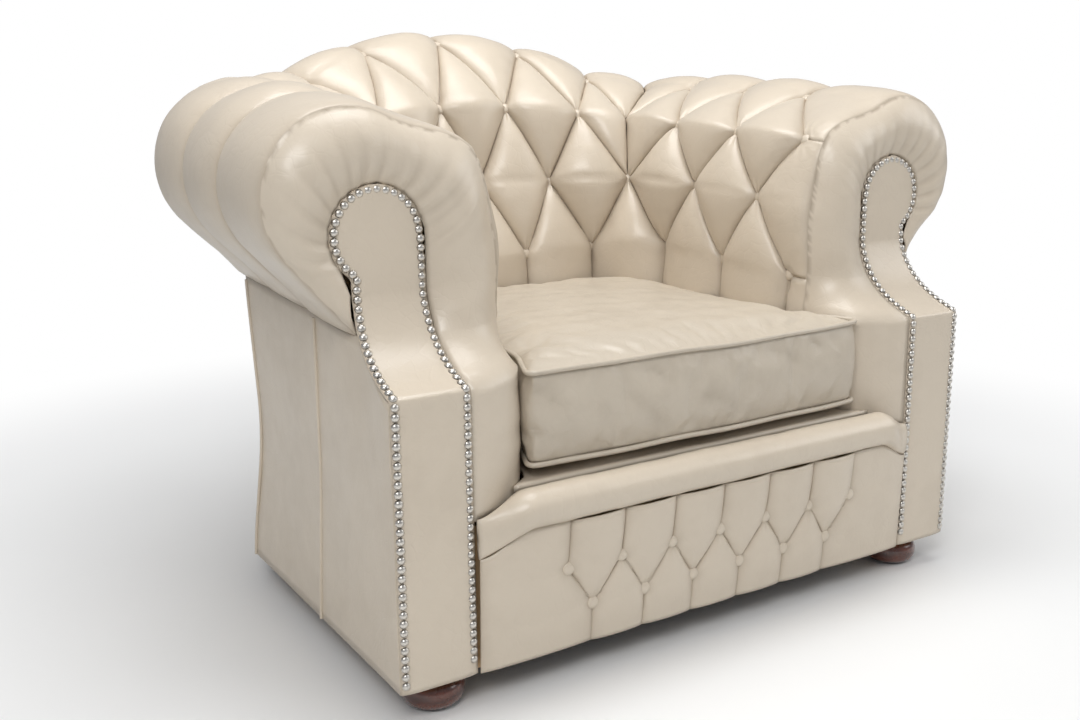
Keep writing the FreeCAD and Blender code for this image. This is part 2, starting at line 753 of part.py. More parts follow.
def facing_outline(label, outer, depth):
    """Front outline with the round head, as a solid as deep as the facing."""
    inner = "sizes.facing_inner"
    foot = "sizes.base_height + sizes.fit"
    neck = outer + " - " + str(NECK_STEP)
    points = [(inner, foot), (outer, foot), (outer, "sizes.facing_knee"),
              (neck, "sizes.facing_shoulder"), (neck, "sizes.head_height - 44"),
              ("sizes.head_middle", "sizes.head_height"),
              ("sizes.head_middle - sizes.head_radius", "sizes.head_height")]
    plate = outline_body(label + "_plate", "XZ_Plane", points, depth,
                         {"y": FACE_TEXT + " + " + depth}, listed=False)
    head = doc.addObject("Part::Cylinder", label + "_head")
    head.setExpression("Radius", "sizes.head_radius")
    head.setExpression("Height", depth)
    head.Placement.Rotation = FreeCAD.Rotation(Vector(1, 0, 0), 90)
    head.setExpression(".Placement.Base.x", "sizes.head_middle")
    head.setExpression(".Placement.Base.y", FACE_TEXT + " + " + depth)
    head.setExpression(".Placement.Base.z", "sizes.head_height")
    both = doc.addObject("Part::MultiFuse", label + "_front")
    both.Shapes = [plate, head]
    return both


def lean_line(depth):
    """The leaning part of the side outline, set in by a depth square to the facing."""
    rise = size("facing_shoulder") - size("facing_knee")
    line = [Vector(0, far * size("head_back"), share * rise) for share, far in LEAN]
    ways = [(b - a).normalize() for a, b in zip([line[0] - UP] + line, line + [line[-1] + UP])]
    points = []
    for (share, far), before, after in zip(LEAN, ways, ways[1:]):
        square = Vector(0, before.z + after.z, -before.y - after.y)
        square = square / (1 + before.dot(after))
        points.append((f"{square.y:.4f} * {depth} + {far} * sizes.head_back",
                       f"sizes.facing_knee + {share} * (sizes.facing_shoulder - sizes.facing_knee)"
                       f" - {-square.z:.4f} * {depth}"))
    return points


def facing_piece(label, outer, near, far):
    """What lies between two surfaces that follow the facing: upright, leaning, upright."""
    depth = "(sizes.head_back + sizes.facing_block + 10)"
    top = "sizes.head_height + sizes.head_radius + 20"
    points = [(near, "0"), (far, "0")] + lean_line(far)
    points += [(far + " + sizes.head_back", top), (near + " + sizes.head_back", top)]
    points += lean_line(near)[::-1]
    side = outline_body(label + "_side", "YZ_Plane", points, "sizes.facing_outer + 10",
                        {"y": FACE_TEXT}, listed=False)
    piece = doc.addObject("Part::MultiCommon", label)
    piece.Shapes = [facing_outline(label, outer, depth), side]
    return keep(piece, label)


leather_back = "sizes.facing_leather"
block_front = "(sizes.facing_leather + sizes.fit)"
facing = facing_piece("arm_facing_right", "sizes.facing_outer", "0", leather_back)
block = facing_piece("facing_block_right", "(sizes.facing_outer - sizes.panel - 20)",
                     block_front, "(sizes.facing_leather + sizes.facing_block)")
twin(facing, "arm_facing_left")
twin(block, "facing_block_left")


def nail_spots():
    """Nails at an even pitch along the edge of the facing, from its outer foot over the head."""
    inset = size("nail_inset")
    radius = size("head_radius") - inset
    outer = size("facing_outer") - inset
    inner = size("facing_inner") + inset
    first = size("base_height") + inset + 5
    leaning = [lean_height(share) for share, _ in LEAN]
    path = [(outer, first)] + [(outer - NECK_STEP * k / 5, z) for k, z in enumerate(leaning)]
    start_turn = -math.degrees(math.acos((outer - NECK_STEP - size("head_middle")) / radius))
    turns = 24
    for k in range(turns + 1):
        turn = math.radians(start_turn + (180 - start_turn) * k / turns)
        path.append((size("head_middle") + radius * math.cos(turn),
                     size("head_height") + radius * math.sin(turn)))
    path += [(inner, z) for z in leaning[::-1]] + [(inner, first)]
    line = [Vector(x, FACE + facing_back(z), z) for x, z in path]
    spots = []
    left_over = 0.0
    for start, end in zip(line, line[1:]):
        run = end - start
        leans = Vector(0, -abs(run.z), abs(run.y)) if abs(run.y) > 0.01 else FORWARD
        along = left_over
        while along < run.Length:
            spots.append(Spot(start + run * (along / run.Length), leans))
            along += size("nail_pitch")
        left_over = along - run.Length
    return spots


nail_profile = ((0.2, size("nail_radius") * 0.98),
                (0.2 + size("nail_height"), size("nail_radius") * 0.45))
doc.recompute()
nail_domes = []
for spot in nail_spots():
    dome = prism(spot, nail_profile, 5)
    if abs(spot.place.z - lean_height(0.5)) < lean_height(0.5) - lean_height(0) + size("nail_radius"):
        dome = max(dome.cut(facing.Shape).Solids, key=lambda solid: solid.Volume)
    nail_domes.append(dome)
nails = feature("facing_nails_right", Part.Compound(nail_domes))
twin(nails, "facing_nails_left")
print("nails in a facing:", len(nail_domes))

# Outside panels and their piping

ARC_RADIUS = ((size("base_half") ** 2 + (size("base_back") - size("seam_back")) ** 2)
              / (2 * (size("base_back") - size("seam_back"))))
ARC_MIDDLE = Vector(0, FACE + size("base_back") - ARC_RADIUS, 0)
FOOT = size("base_height") + size("fit")


def neck_height(back):
    return over(ROW_T.at_arm(back))[-1].place.z


NECK_X = over(ROW_T.at_arm(0))[-1].place.x


def upright(outer, way, thickness):
    """A closed upright section: outer corners from the foot up, then back down inside."""
    inner = [point - way * thickness for point in outer]
    return outer + inner[::-1]


def lean_top(back):
    """Height of the underside of the facing's leather at a distance behind its foot."""
    height = size("facing_knee") - 4
    while facing_back(height + 4) < back - size("facing_leather") - 2 and height < 600:
        height += 1
    return height


def side_line(back):
    """Outer corners of the outside arm panel at a distance behind the facings."""
    front = size("facing_outer")
    share = smooth(back / size("seam_back"))
    top = min(lean_top(back), neck_height(back) - 0.5)
    top_x = front + (NECK_X - front) * smooth(back / size("head_back"))
    foot_x = front + (size("base_half") - front) * share
    waist_x = front + (size("base_half") - size("waist") - front) * share
    y = FACE + back
    return [Vector(foot_x, y, FOOT), Vector(waist_x, y, size("waist_height")),
            Vector(top_x, y, top)]


side_front = size("facing_leather") + size("fit")
side_places = (side_front, 30, 55, 80, size("head_back") + 8, size("front_seam_back"), 400,
               size("seam_back"))
sections = [upright(side_line(back), Vector(1, 0, 0), size("panel")) for back in side_places]
outside_arm = feature("outside_arm_panel_right", faceted(sections))
twin(outside_arm, "outside_arm_panel_left")


def back_line(neck):
    """Outer corners of the outside back panel under a point of the roll's neck."""
    way = Vector(neck.x, neck.y - ARC_MIDDLE.y, 0).normalize()
    foot = ARC_MIDDLE + way * ARC_RADIUS
    waist = ARC_MIDDLE + way * (ARC_RADIUS - size("waist"))
    return way, [Vector(foot.x, foot.y, FOOT), Vector(waist.x, waist.y, size("waist_height")),
                 neck - UP * 0.5]


seam_step = Vector(0, size("fit"), 0)
corner_line = [point + seam_step for point in side_line(size("seam_back"))]
corner_section = upright(corner_line, Vector(1, 0, 0), size("panel"))
necks = [over(T[k])[-1].place for k in (4, 3, 2, 1, 0)]
necks += [Vector(-p.x, p.y, p.z) for p in necks[-2::-1]]
sections = [corner_section]
for neck in necks:
    way, line = back_line(neck)
    sections.append(upright(line, way, size("panel")))
sections.append([Vector(-point.x, point.y, point.z) for point in corner_section])
feature("outside_back_panel", faceted(sections))


def piping(line, way):
    """Half-round piping up a seam."""
    along = way.cross(UP)
    rings = []
    radius = size("piping_radius")
    for point in line:
        ring = []
        for k in range(5):
            turn = math.pi * k / 4
            ring.append(point + way * (size("fit") + radius * math.sin(turn))
                        + along * (radius * math.cos(turn)))
        rings.append(ring)
    return faceted(rings)


def short_top(line):
    """The same seam, ending just under the roll."""
    return line[:-1] + [line[-1] - UP * 2]


front_piping = piping(short_top(side_line(size("front_seam_back"))), Vector(1, 0, 0))
rear_line = short_top(side_line(size("seam_back") - size("piping_radius") - 1))
pipes = [front_piping, piping(rear_line, Vector(1, 0, 0))]
pipes += [pipe.mirror(Vector(0, 0, 0), Vector(1, 0, 0)) for pipe in pipes]
feature("outside_seam_piping", Part.Compound(pipes))

# Front border and lip


DIP_START = 290


def dip(x):
    """How far the lip and the border's top fall at their ends, under the arms."""
    return 28 * smooth((abs(x) - DIP_START) / 68)


BORDER_END = size("facing_inner") - 1.5


def border_tuft(x, height, proud):
    return Tuft(Vector(x, FACE - proud, height), FORWARD, size("border_well"), FORWARD)


upper = [border_tuft((k - 3) * size("border_pitch"), size("border_upper"),
                     size("border_upper_set") - 4) for k in range(7)]
low = [border_tuft((k - 2.5) * size("border_pitch"), size("border_lower"),
                   size("border_lower_set") - 4) for k in range(6)]


def to_top(tuft):
    x = tuft.place.x
    end = Spot(Vector(x, FACE - size("border_upper_set") + 4, size("border_top") - dip(x)), FORWARD)
    start = tuft.corner(end)
    return [start, between(start, end, 0.5), end]


def to_foot(tuft):
    end = Spot(Vector(tuft.place.x, FACE + 1, size("base_height") + size("fit")), FORWARD)
    start = tuft.corner(end)
    return [start, between(start, end, 0.5), end]


def border_layer(pad):
    rise = size("border_puff")
    for k in range(6):
        pad.puff(pleat(low[k], upper[k], 2) + to_top(upper[k]),
                 pleat(low[k], upper[k + 1], 2) + to_top(upper[k + 1]),
                 (0, rise, rise, rise, rise, rise * 0.7))
    for k in range(1, 6):
        pad.puff(pleat(upper[k], low[k - 1], 2) + to_foot(low[k - 1]),
                 pleat(upper[k], low[k], 2) + to_foot(low[k]),
                 (0, rise, rise, rise, rise * 0.8, rise * 0.5))
    for side in (1, -1):
        last_upper, last_low = (upper[6], low[5]) if side > 0 else (upper[0], low[0])
        near = (to_top(last_upper)[::-1] + pleat(last_upper, last_low, 2) + to_foot(last_low))
        columns = [near]
        for x, proud in ((DIP_START, size("border_lower_set") - 2), (315, 2), (BORDER_END, -1)):
            top = size("border_top") - dip(x)
            step = (top - FOOT) / (len(near) - 1)
            columns.append([Spot(Vector(side * x, FACE - proud, top - k * step), FORWARD)
                            for k in range(len(near))])
            columns[-1][-1] = Spot(Vector(side * x, FACE + 1, FOOT), FORWARD)
        rises = (rise * 0.7, rise, rise, rise, rise, rise, rise, rise * 0.8, rise * 0.5)
        for left, right in zip(columns, columns[1:]):
            pad.puff(left, right, rises)
    for k, tuft in enumerate(upper):
        targets = [to_top(tuft)[-1]]
        targets += low[k:k + 1]
        targets += low[k - 1:k] if k else []
        if len(targets) > 2:
            pad.hollow(tuft, targets)
    for k, tuft in enumerate(low):
        pad.hollow(tuft, [upper[k], upper[k + 1], to_foot(tuft)[-1]])
    return pad.solid()


border = border_layer(Pad(size("border_back"), size("border_pitch")))
feature("front_border", border)
buttons("border_buttons", upper + low, border)


def lip_section(x):
    """The lip is a padded roll, slimmer and lower where it passes under the arms."""
    fall = dip(x)
    proud = size("lip_proud") - 10 * fall / 28
    foot = size("border_top") + size("fit") - fall
    top = size("lip_top") - fall
    back = FACE + 7 - 7.5 * smooth((abs(x) - DIP_START - 8) / 45)
    low_point = Vector(x, back, foot + 5)
    high_point = Vector(x, back, top - 6)
    nose = Vector(x, FACE - proud, (foot + top) / 2)
    under = Vector(x, FACE - proud * 0.72, foot + 5.5)
    crest = Vector(x, FACE - proud * 0.6, top - 4.5)
    return arc_points(high_point, crest, nose) + arc_points(nose, under, low_point)[1:]


lip_places = (-BORDER_END, -338, -315, -DIP_START, 0, DIP_START, 315, 338, BORDER_END)
feature("front_lip", faceted([lip_section(x) for x in lip_places]))

# Timber frame

FIT = "sizes.fit"
FOOT_TEXT = "(sizes.base_height + sizes.fit)"
BLOCK_IN = "(sizes.facing_inner - 0.5)"
BLOCK_BACK = "(sizes.facing_leather + sizes.facing_block + sizes.fit)"
RAIL_FRONT = "(sizes.border_back + 1 + sizes.fit)"
FOAM_BACK = "(sizes.wadding + sizes.foam + 2 * sizes.fit)"
WEB_IN = "(sizes.arm_inside + " + FOAM_BACK + " + sizes.fit)"
WEB_BACK = "(sizes.c_back + " + FOAM_BACK + ")"
TACK_TOP = "(sizes.rail_top + sizes.stuffing_rail_height)"
WEB_RAIL_FOOT = "(sizes.rail_top - sizes.rail)"

box("front_seat_rail", "-" + BLOCK_IN, RAIL_FRONT, FOOT_TEXT, "2 * " + BLOCK_IN, "sizes.rail",
    "sizes.rail_top - " + FOOT_TEXT)
WEB_RAIL = (FIT + " - " + WEB_IN, WEB_BACK)
WEB_RAIL_LENGTH = "2 * (" + WEB_IN + " - " + FIT + ")"
CLIP_TOP = "(sizes.rail_top + sizes.webbing + 2 * sizes.fit + 1.6)"
box("rear_web_rail", *WEB_RAIL, WEB_RAIL_FOOT, WEB_RAIL_LENGTH, "sizes.rail", "sizes.rail")
box("back_stuffing_rail", *WEB_RAIL, CLIP_TOP, WEB_RAIL_LENGTH, "sizes.rail",
    TACK_TOP + " - " + CLIP_TOP)
TACK_FRONT = "(" + RAIL_FRONT + " + sizes.rail + sizes.fit)"
TACK_BACK = "(" + WEB_BACK + " + 8)"
LEAVE_TURN = "(sizes.front_turn - 25)"
bearer = box("arm_rail_bearer", WEB_IN, TACK_FRONT, WEB_RAIL_FOOT, "sizes.rail",
             TACK_BACK + " - " + TACK_FRONT, "sizes.rail", listed=False)
tacking = box("arm_rail_upper", WEB_IN, LEAVE_TURN, WEB_RAIL_FOOT, "sizes.rail",
              TACK_BACK + " - " + LEAVE_TURN, TACK_TOP + " - " + WEB_RAIL_FOOT, listed=False)
tack = doc.addObject("Part::MultiFuse", "arm_stuffing_rail_right")
tack.Shapes = [bearer, tacking]
keep(tack, "arm_stuffing_rail_right")
twin(tack, "arm_stuffing_rail_left")
CORNER_BACK = "(" + BLOCK_BACK + " + sizes.corner_block + sizes.fit)"
side_rail = box("side_seat_rail_right", "sizes.side_rail_in", CORNER_BACK, FOOT_TEXT, "sizes.rail",
                "sizes.seam_back + 6 - " + CORNER_BACK, "sizes.side_rail_height")
twin(side_rail, "side_seat_rail_left")


def drilled(label, blank, x, back):
    """A timber with the hole for a foot's bolt."""
    drill = doc.addObject("Part::Cylinder", label + "_drill")
    drill.setExpression("Radius", "sizes.bolt_radius + 0.2")
    drill.Height = 70
    drill.setExpression(".Placement.Base.x", x)
    drill.setExpression(".Placement.Base.y", FACE_TEXT + " + " + back)
    drill.setExpression(".Placement.Base.z", "sizes.base_height - 30")
    piece = doc.addObject("Part::Cut", label)
    piece.Base = blank
    piece.Tool = drill
    return keep(piece, label)


POST_IN = "(sizes.side_rail_in - sizes.corner_post - sizes.fit)"
POST_BACK = "(sizes.seam_back - sizes.post_set)"
post_blank = box("rear_post_blank", POST_IN, POST_BACK, FOOT_TEXT, "sizes.corner_post",
                 "sizes.corner_post", "sizes.crest_arm_height - 120 - " + FOOT_TEXT, listed=False)
post = drilled("rear_post_right", post_blank, POST_IN + " + sizes.corner_post / 2",
               POST_BACK + " + sizes.corner_post / 2")
twin(post, "rear_post_left")
corner_blank = box("corner_block_blank", "sizes.facing_inner", BLOCK_BACK + " + sizes.fit",
                   FOOT_TEXT, "sizes.side_rail_in + sizes.rail - sizes.facing_inner",
                   "sizes.corner_block - sizes.fit", "sizes.corner_block_height", listed=False)
corner = drilled("corner_block_right", corner_blank, "sizes.foot_in", "sizes.foot_front")
twin(corner, "corner_block_left")


def ring_rail(label, centre_back, radius, half_width, reach, start, low, high):
    """A curved rail: the part of a ring that follows the back, behind start."""
    middle = Vector(0, FACE + centre_back - radius, low)
    shape = (Part.makeCylinder(radius + half_width, high - low, middle)
             .cut(Part.makeCylinder(radius - half_width, high - low, middle)))
    around = Part.makeBox(2 * reach, 2 * radius, high - low, Vector(-reach, FACE + start, low))
    return feature(label, shape.common(around))


rail_middle = size("base_back") - size("waist") - size("rail") / 2 - size("rail_set")
rail_ring = ARC_RADIUS - (size("base_back") - rail_middle)
rail_end = size("seam_back") - size("post_set") + size("corner_post") + size("fit")
rear_rail_top = FOOT + size("side_rail_height")
ring_rail("rear_seat_rail", rail_middle, rail_ring, size("rail") / 2,
          size("side_rail_in") - size("fit"), rail_end, FOOT, rear_rail_top)
roll_middle = T[0].place - T[0].facing * size("roll_radius_back")
crest_level = over(T[3])[0].place.z - 79
crest_rail_back = roll_middle.y - FACE - size("crest_rail_set")
crest_arc = size("crest_rail_arc")
ring_rail("back_crest_rail", crest_rail_back, crest_arc, size("crest_rail") / 2,
          size("crest_rail_reach"), size("seam_back"), crest_level,
          crest_level + size("crest_rail_height"))


def stile(x):
    """A leaning upright between the rear rail and the crest rail."""
    foot_y = FACE + rail_middle - rail_ring + math.sqrt(rail_ring ** 2 - x ** 2)
    top_y = FACE + crest_rail_back - crest_arc + math.sqrt(crest_arc ** 2 - x ** 2) - 14
    half = size("stile_width") / 2
    deep = size("stile_depth") / 2
    sections = []
    for y, z in ((foot_y, rear_rail_top + size("fit")), (top_y, crest_level - size("fit"))):
        corners = [Vector(x - half, y - deep, z), Vector(x + half, y - deep, z),
                   Vector(x + half, y + deep, z), Vector(x - half, y + deep, z)]
        sections.append(Part.makePolygon(corners + [corners[0]]))
    return Part.makeLoft(sections, True, True)


feature("back_stiles", Part.Compound([stile(x) for x in (-190, 0, 190)]))


def former(back, thickness=15):
    """A plywood former inside the arm: the line of the foam, cut round the arm board."""
    depth = FOAM_END + 2.5
    line = [row.at_arm(back).sunk(depth) for row in (ROW_C, ROW_B, ROW_A, ROW_T)]
    line += [spot.sunk(depth) for spot in over(ROW_T.at_arm(back))]
    foot = size("rail_top") + size("stuffing_rail_height") + size("fit")
    line = ([Vector(line[0].x, line[0].y, foot)] + line
            + [Vector(line[-1].x, line[-1].y, foot)])
    face = Part.Face(Part.makePolygon(line + [line[0]]))
    return face.extrude(Vector(0, thickness, 0))


board_low = ROW_T.at_arm(size("front_turn")).place.z - 110
board_size = Vector(92, size("seam_back") - 60 - size("head_back") - 40, 22)
board_place = Vector(size("crest_side") - 2, FACE + size("head_back") + 40, board_low)
board = Part.makeBox(board_size.x, board_size.y, board_size.z, board_place)
slot = Part.makeBox(board_size.x + 0.4, board_size.y + 1, board_size.z + 0.4,
                    board_place - Vector(0.2, 0.5, 0.2))
arm_board = feature("arm_board_right", board)
twin(arm_board, "arm_board_left")
formers = feature("arm_formers_right",
                  Part.Compound([former(size("former_first") + k * size("former_pitch")).cut(slot)
                                 for k in range(3)]))
twin(formers, "arm_formers_left")

# Seat: webbing, platform and its cloths


def web_spots():
    half = size("deck_half") - 20
    return [-half + k * half / 3 for k in range(7)]


rail_top = size("rail_top") + size("fit")
web_front = FACE + size("border_back") + 4
web_back = FACE + size("c_back") + WADDING + size("foam") + size("rail") - 4
webs = [Part.makeBox(size("webbing_width"), web_back - web_front, size("webbing"),
                     Vector(x - size("webbing_width") / 2, web_front, rail_top))
        for x in web_spots()]
feature("seat_webbing", Part.Compound(webs))
clip_level = rail_top + size("webbing") + 0.1
clips = []
for x in web_spots():
    for y in (web_front + 2, web_back - 14):
        clips.append(Part.makeBox(size("webbing_width") + 4, 12, 1.2,
                                  Vector(x - size("webbing_width") / 2 - 2, y, clip_level)))
feature("webbing_clips", Part.Compound(clips))

deck_low = "(sizes.rail_top + sizes.webbing + 2)"
deck_cloth = "1.5"


def deck_outline(front):
    half = "sizes.deck_half"
    rear = "sizes.deck_back"
    cut = "sizes.corner_cut"
    right = [(half + " + 56", front), (half + " + 28", "sizes.front_turn - 76"),
             (half + " + 14", "sizes.front_turn - 50"), (half, "sizes.front_turn + 3"),
             (half, rear + " - " + cut), (half + " - 0.8 * " + cut, rear)]
    return right + [("-(" + x + ")", y) for x, y in right[::-1]]


outline_body("platform_foam", "XY_Plane", deck_outline("sizes.front_turn - 98"),
             "sizes.deck_top - " + deck_cloth + " - 0.3 - " + deck_low,
             {"y": FACE_TEXT, "z": deck_low})
outline_body("platform_cloth", "XY_Plane", deck_outline("10"), deck_cloth,
             {"y": FACE_TEXT, "z": "sizes.deck_top - " + deck_cloth})
cloth_half = size("facing_inner") - 30
dust = Part.makeBox(2 * cloth_half, size("seam_back"), 1.2,
                    Vector(-cloth_half, FACE + 22, size("base_height") - 1.2))
feature("bottom_cloth", dust)

# Seat cushion: a crowned leather case round its core, piped at both seams


def cushion_ring(z, inset, share=1.0):
    """The cushion's outline at a height, drawn in by inset and scaled about its middle."""
    half = size("cushion_half") - inset
    wide = size("cushion_front_half") - inset
    front = size("cushion_front") + inset
    rear = size("cushion_back") - inset
    cut = size("corner_cut") - inset * 0.4
    middle = (front + rear) / 2
    ends = [(wide, front + 6), (wide - 16, front + 42), (half, front + 96), (half, rear - cut),
            (half - 0.8 * cut, rear - 3)]

    def put(x, back):
        return Vector(x * share, FACE + middle + (back - middle) * share, z)

    right = [put(x, back) for x, back in ends]
    left = [put(-x, back) for x, back in ends[::-1]]
    rear_arc = arc_points(right[-1], put(0, rear + 3), left[0])
    front_arc = arc_points(left[-1], put(0, front - 4), right[0])
    return right + rear_arc[1:-1] + left + front_arc[1:-1]


def cushion_body(inset):
    low = size("cushion_lower")
    high = size("cushion_upper")
    bulge = size("cushion_bulge")
    rings = [(low - size("cushion_sag") + inset, inset, 0.5),
             (low - size("cushion_sag") * 0.65 + inset, inset, 0.78),
             (low - size("cushion_sag") * 0.2 + inset, inset, 0.95), (low, inset, 1.0),
             (low + 24, inset - bulge * 0.8, 1.0), ((low + high) / 2, inset - bulge, 1.0),
             (high - 24, inset - bulge * 0.8, 1.0), (high, inset, 1.0),
             (high + size("cushion_crown") * 0.4 - inset, inset, 0.93),
             (high + size("cushion_crown") * 0.8 - inset, inset, 0.74),
             (high + size("cushion_crown") - inset, inset, 0.45)]
    return faceted([cushion_ring(*ring) for ring in rings])


cloth = size("cushion_cloth")
case = cushion_body(0)
feature("cushion_case", case.cut(cushion_body(cloth)))
feature("cushion_core", cushion_body(cloth + size("fit")))


def cushion_piping(z):
    """A piped edge round the cushion, just outside its seam."""
    radius = size("piping_radius")
    outer = faceted([cushion_ring(z - radius, -2.2), cushion_ring(z - radius * 0.3, -2 * radius),
                     cushion_ring(z + radius * 0.3, -2 * radius), cushion_ring(z + radius, -2.2)])
    inner = faceted([cushion_ring(z - radius - 1, -1.2), cushion_ring(z + radius + 1, -1.2)])
    return outer.cut(inner)


feature("cushion_lower_piping", cushion_piping(size("cushion_lower")))
feature("cushion_upper_piping", cushion_piping(size("cushion_upper")))
zip_level = (size("cushion_lower") + size("cushion_upper")) / 2 - 9
zip_back = FACE + size("cushion_back") + 3 + size("cushion_bulge") + size("fit")
feature("cushion_zip", Part.makeBox(180, 3, 18, Vector(-90, zip_back, zip_level)))

# Feet


def foot_places():
    rear_x = size("side_rail_in") - size("fit") - size("corner_post") / 2
    rear_y = FACE + size("seam_back") - size("post_set") + size("corner_post") / 2
    places = []
    for side in (1, -1):
        places.append(Vector(side * size("foot_in"), FACE + size("foot_front"), 0))
        places.append(Vector(side * rear_x, rear_y, 0))
    return places


def bun(place):
    """A turned bun: a flat foot, a full belly and a short neck under the base."""
    radius = size("foot_radius")
    top = size("base_height")
    belly = ((0, 2), (0.6, 2), (0.93, 10), (1.0, 20), (0.9, 32), (0.62, 40), (0.62, top), (0, top))
    outline = [Vector(radius * share, 0, z) for share, z in belly]
    face = Part.Face(Part.makePolygon(outline + outline[:1]))
    solid = face.revolve(Vector(0, 0, 0), UP, 360)
    solid = solid.cut(Part.makeCylinder(size("bolt_radius") + 0.2, 40, Vector(0, 0, 14)))
    return solid.translate(place)


feature("bun_feet", Part.Compound([bun(place) for place in foot_places()]))
feature("foot_glides", Part.Compound([Part.makeCylinder(11, 1.9, place)
                                      for place in foot_places()]))
feature("foot_bolts", Part.Compound([Part.makeCylinder(size("bolt_radius"), 60,
                                                       place + Vector(0, 0, 14.2))
                                     for place in foot_places()]))

doc.recompute()

# Every object has to be sound before anything is written
for item in doc.Objects:
    if "Invalid" in item.State or "Error" in item.State:
        raise RuntimeError("failed: " + item.Name)
for item in NODES:
    if item.Shape.isNull() or not item.Shape.isValid():
        raise RuntimeError("bad shape: " + item.Label)
for item in NODES:
    item.Shape.exportStep("parts/%s.step" % item.Label)
print(len(NODES), "nodes written")
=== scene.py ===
import bpy
import bmesh
import json
import math
import random
from mathutils import Vector, Matrix, noise, kdtree


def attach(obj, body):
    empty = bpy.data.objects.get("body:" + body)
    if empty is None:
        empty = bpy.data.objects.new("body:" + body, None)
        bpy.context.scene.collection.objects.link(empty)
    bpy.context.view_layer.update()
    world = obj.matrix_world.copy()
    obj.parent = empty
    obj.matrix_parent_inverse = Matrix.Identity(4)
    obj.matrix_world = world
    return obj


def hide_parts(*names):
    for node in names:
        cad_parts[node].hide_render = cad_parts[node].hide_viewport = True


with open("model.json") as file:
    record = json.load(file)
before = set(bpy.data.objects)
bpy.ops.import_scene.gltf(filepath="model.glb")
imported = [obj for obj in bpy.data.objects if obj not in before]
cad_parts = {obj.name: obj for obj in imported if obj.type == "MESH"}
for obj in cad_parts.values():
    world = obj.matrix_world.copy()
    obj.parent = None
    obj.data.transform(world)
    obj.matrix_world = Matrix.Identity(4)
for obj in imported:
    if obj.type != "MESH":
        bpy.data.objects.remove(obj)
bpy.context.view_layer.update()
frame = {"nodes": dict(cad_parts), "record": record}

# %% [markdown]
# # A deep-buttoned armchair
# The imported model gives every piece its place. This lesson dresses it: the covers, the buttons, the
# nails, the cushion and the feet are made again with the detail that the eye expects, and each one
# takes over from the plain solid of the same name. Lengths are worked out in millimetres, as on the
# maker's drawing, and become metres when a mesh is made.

UP = Vector((0, 0, 1))
FORWARD = Vector((0, -1, 0))
FACE = -430.45  # the plane of the border's boards, in front of the middle of the chair


def new_object(name, data):
    thing = bpy.data.objects.new(name, data)
    bpy.context.scene.collection.objects.link(thing)
    return thing


def object_of(name, made):
    mesh = bpy.data.meshes.new(name)
    made.to_mesh(mesh)
    made.free()
    return new_object(name, mesh)


def mirrored(place):
    return Vector((-place.x, place.y, place.z))


# %% [markdown]
# ## The camera
# The camera comes first, because every later choice is judged through it. It stands in front of
# the chair on the left, a little lower than the top of the back, and looks slightly down.

# %% Camera
CAMERA_PLACE = (-0.9506, -1.1005 + FACE / 1000, 0.7149)
turn, tilt, roll = math.radians(-31.763), math.radians(13.009), math.radians(-0.702)
back = Vector((math.sin(turn) * math.cos(tilt), -math.cos(turn) * math.cos(tilt), math.sin(tilt)))
level = (-back).cross(UP).normalized()
above = level.cross(-back)
across = level * math.cos(roll) + above * math.sin(roll)
upward = above * math.cos(roll) - level * math.sin(roll)
camera = new_object("camera", bpy.data.cameras.new("camera"))
camera.data.lens = 38.33
camera.matrix_world = (Matrix.Translation(CAMERA_PLACE)
                       @ Matrix((across, upward, back)).transposed().to_4x4())
bpy.context.scene.camera = camera

# %% [markdown]
# ## Light and floor
# Cream leather shows its form by soft highlights, so the lamps are large. One big lamp stands in
# front on the left, a weaker one fills from the right, and a third lies above. The floor is plain,
# and where the camera looks past it, it sees white.


# %% Lamps, world and floor
def lamp(name, place, aim, width, power):
    light = bpy.data.lights.new(name, "AREA")
    light.shape = "RECTANGLE"
    light.size = width
    light.size_y = width * 0.7
    light.energy = power
    way = Vector(aim) - Vector(place)
    new_object(name, light).matrix_world = (Matrix.Translation(place)
                                            @ way.to_track_quat("-Z", "Y").to_matrix().to_4x4())


lamp("window", (-2.0, -2.3, 2.7), (0, 0, 0.45), 1.5, 50)
lamp("fill", (2.6, -1.6, 1.7), (0, 0, 0.4), 2.2, 22)
lamp("ceiling", (-0.1, -0.1, 2.7), (0, 0, 0.4), 2.0, 50)
world = bpy.data.worlds.new("studio")
world.use_nodes = True
tree = world.node_tree
sky, backdrop = tree.nodes["Background"], tree.nodes.new("ShaderNodeBackground")
sky.inputs["Color"].default_value = (0.93, 0.95, 1.0, 1)
sky.inputs["Strength"].default_value = 0.36
backdrop.inputs["Color"].default_value = (1, 1, 1, 1)
seen, choose = tree.nodes.new("ShaderNodeLightPath"), tree.nodes.new("ShaderNodeMixShader")
for source, socket in ((seen.outputs["Is Camera Ray"], choose.inputs[0]),
                       (sky.outputs[0], choose.inputs[1]), (backdrop.outputs[0], choose.inputs[2]),
                       (choose.outputs[0], tree.nodes["World Output"].inputs["Surface"])):
    tree.links.new(source, socket)
bpy.context.scene.world = world
bpy.context.scene.view_settings.view_transform = "Standard"

floor_mesh = bpy.data.meshes.new("floor")
floor_mesh.from_pydata([(-9, -7, 0), (9, -7, 0), (9, 11, 0), (-9, 11, 0)], [], [(0, 1, 2, 3)])
floor = new_object("floor", floor_mesh)

# %% [markdown]
# ## Writing materials as sums
# A material is a net of nodes, and most of the net is arithmetic. The class below wraps one output
# of a node, so that `1 - mask * 0.3` adds the right Math nodes by itself. Every other node comes
# from the one method `node`.


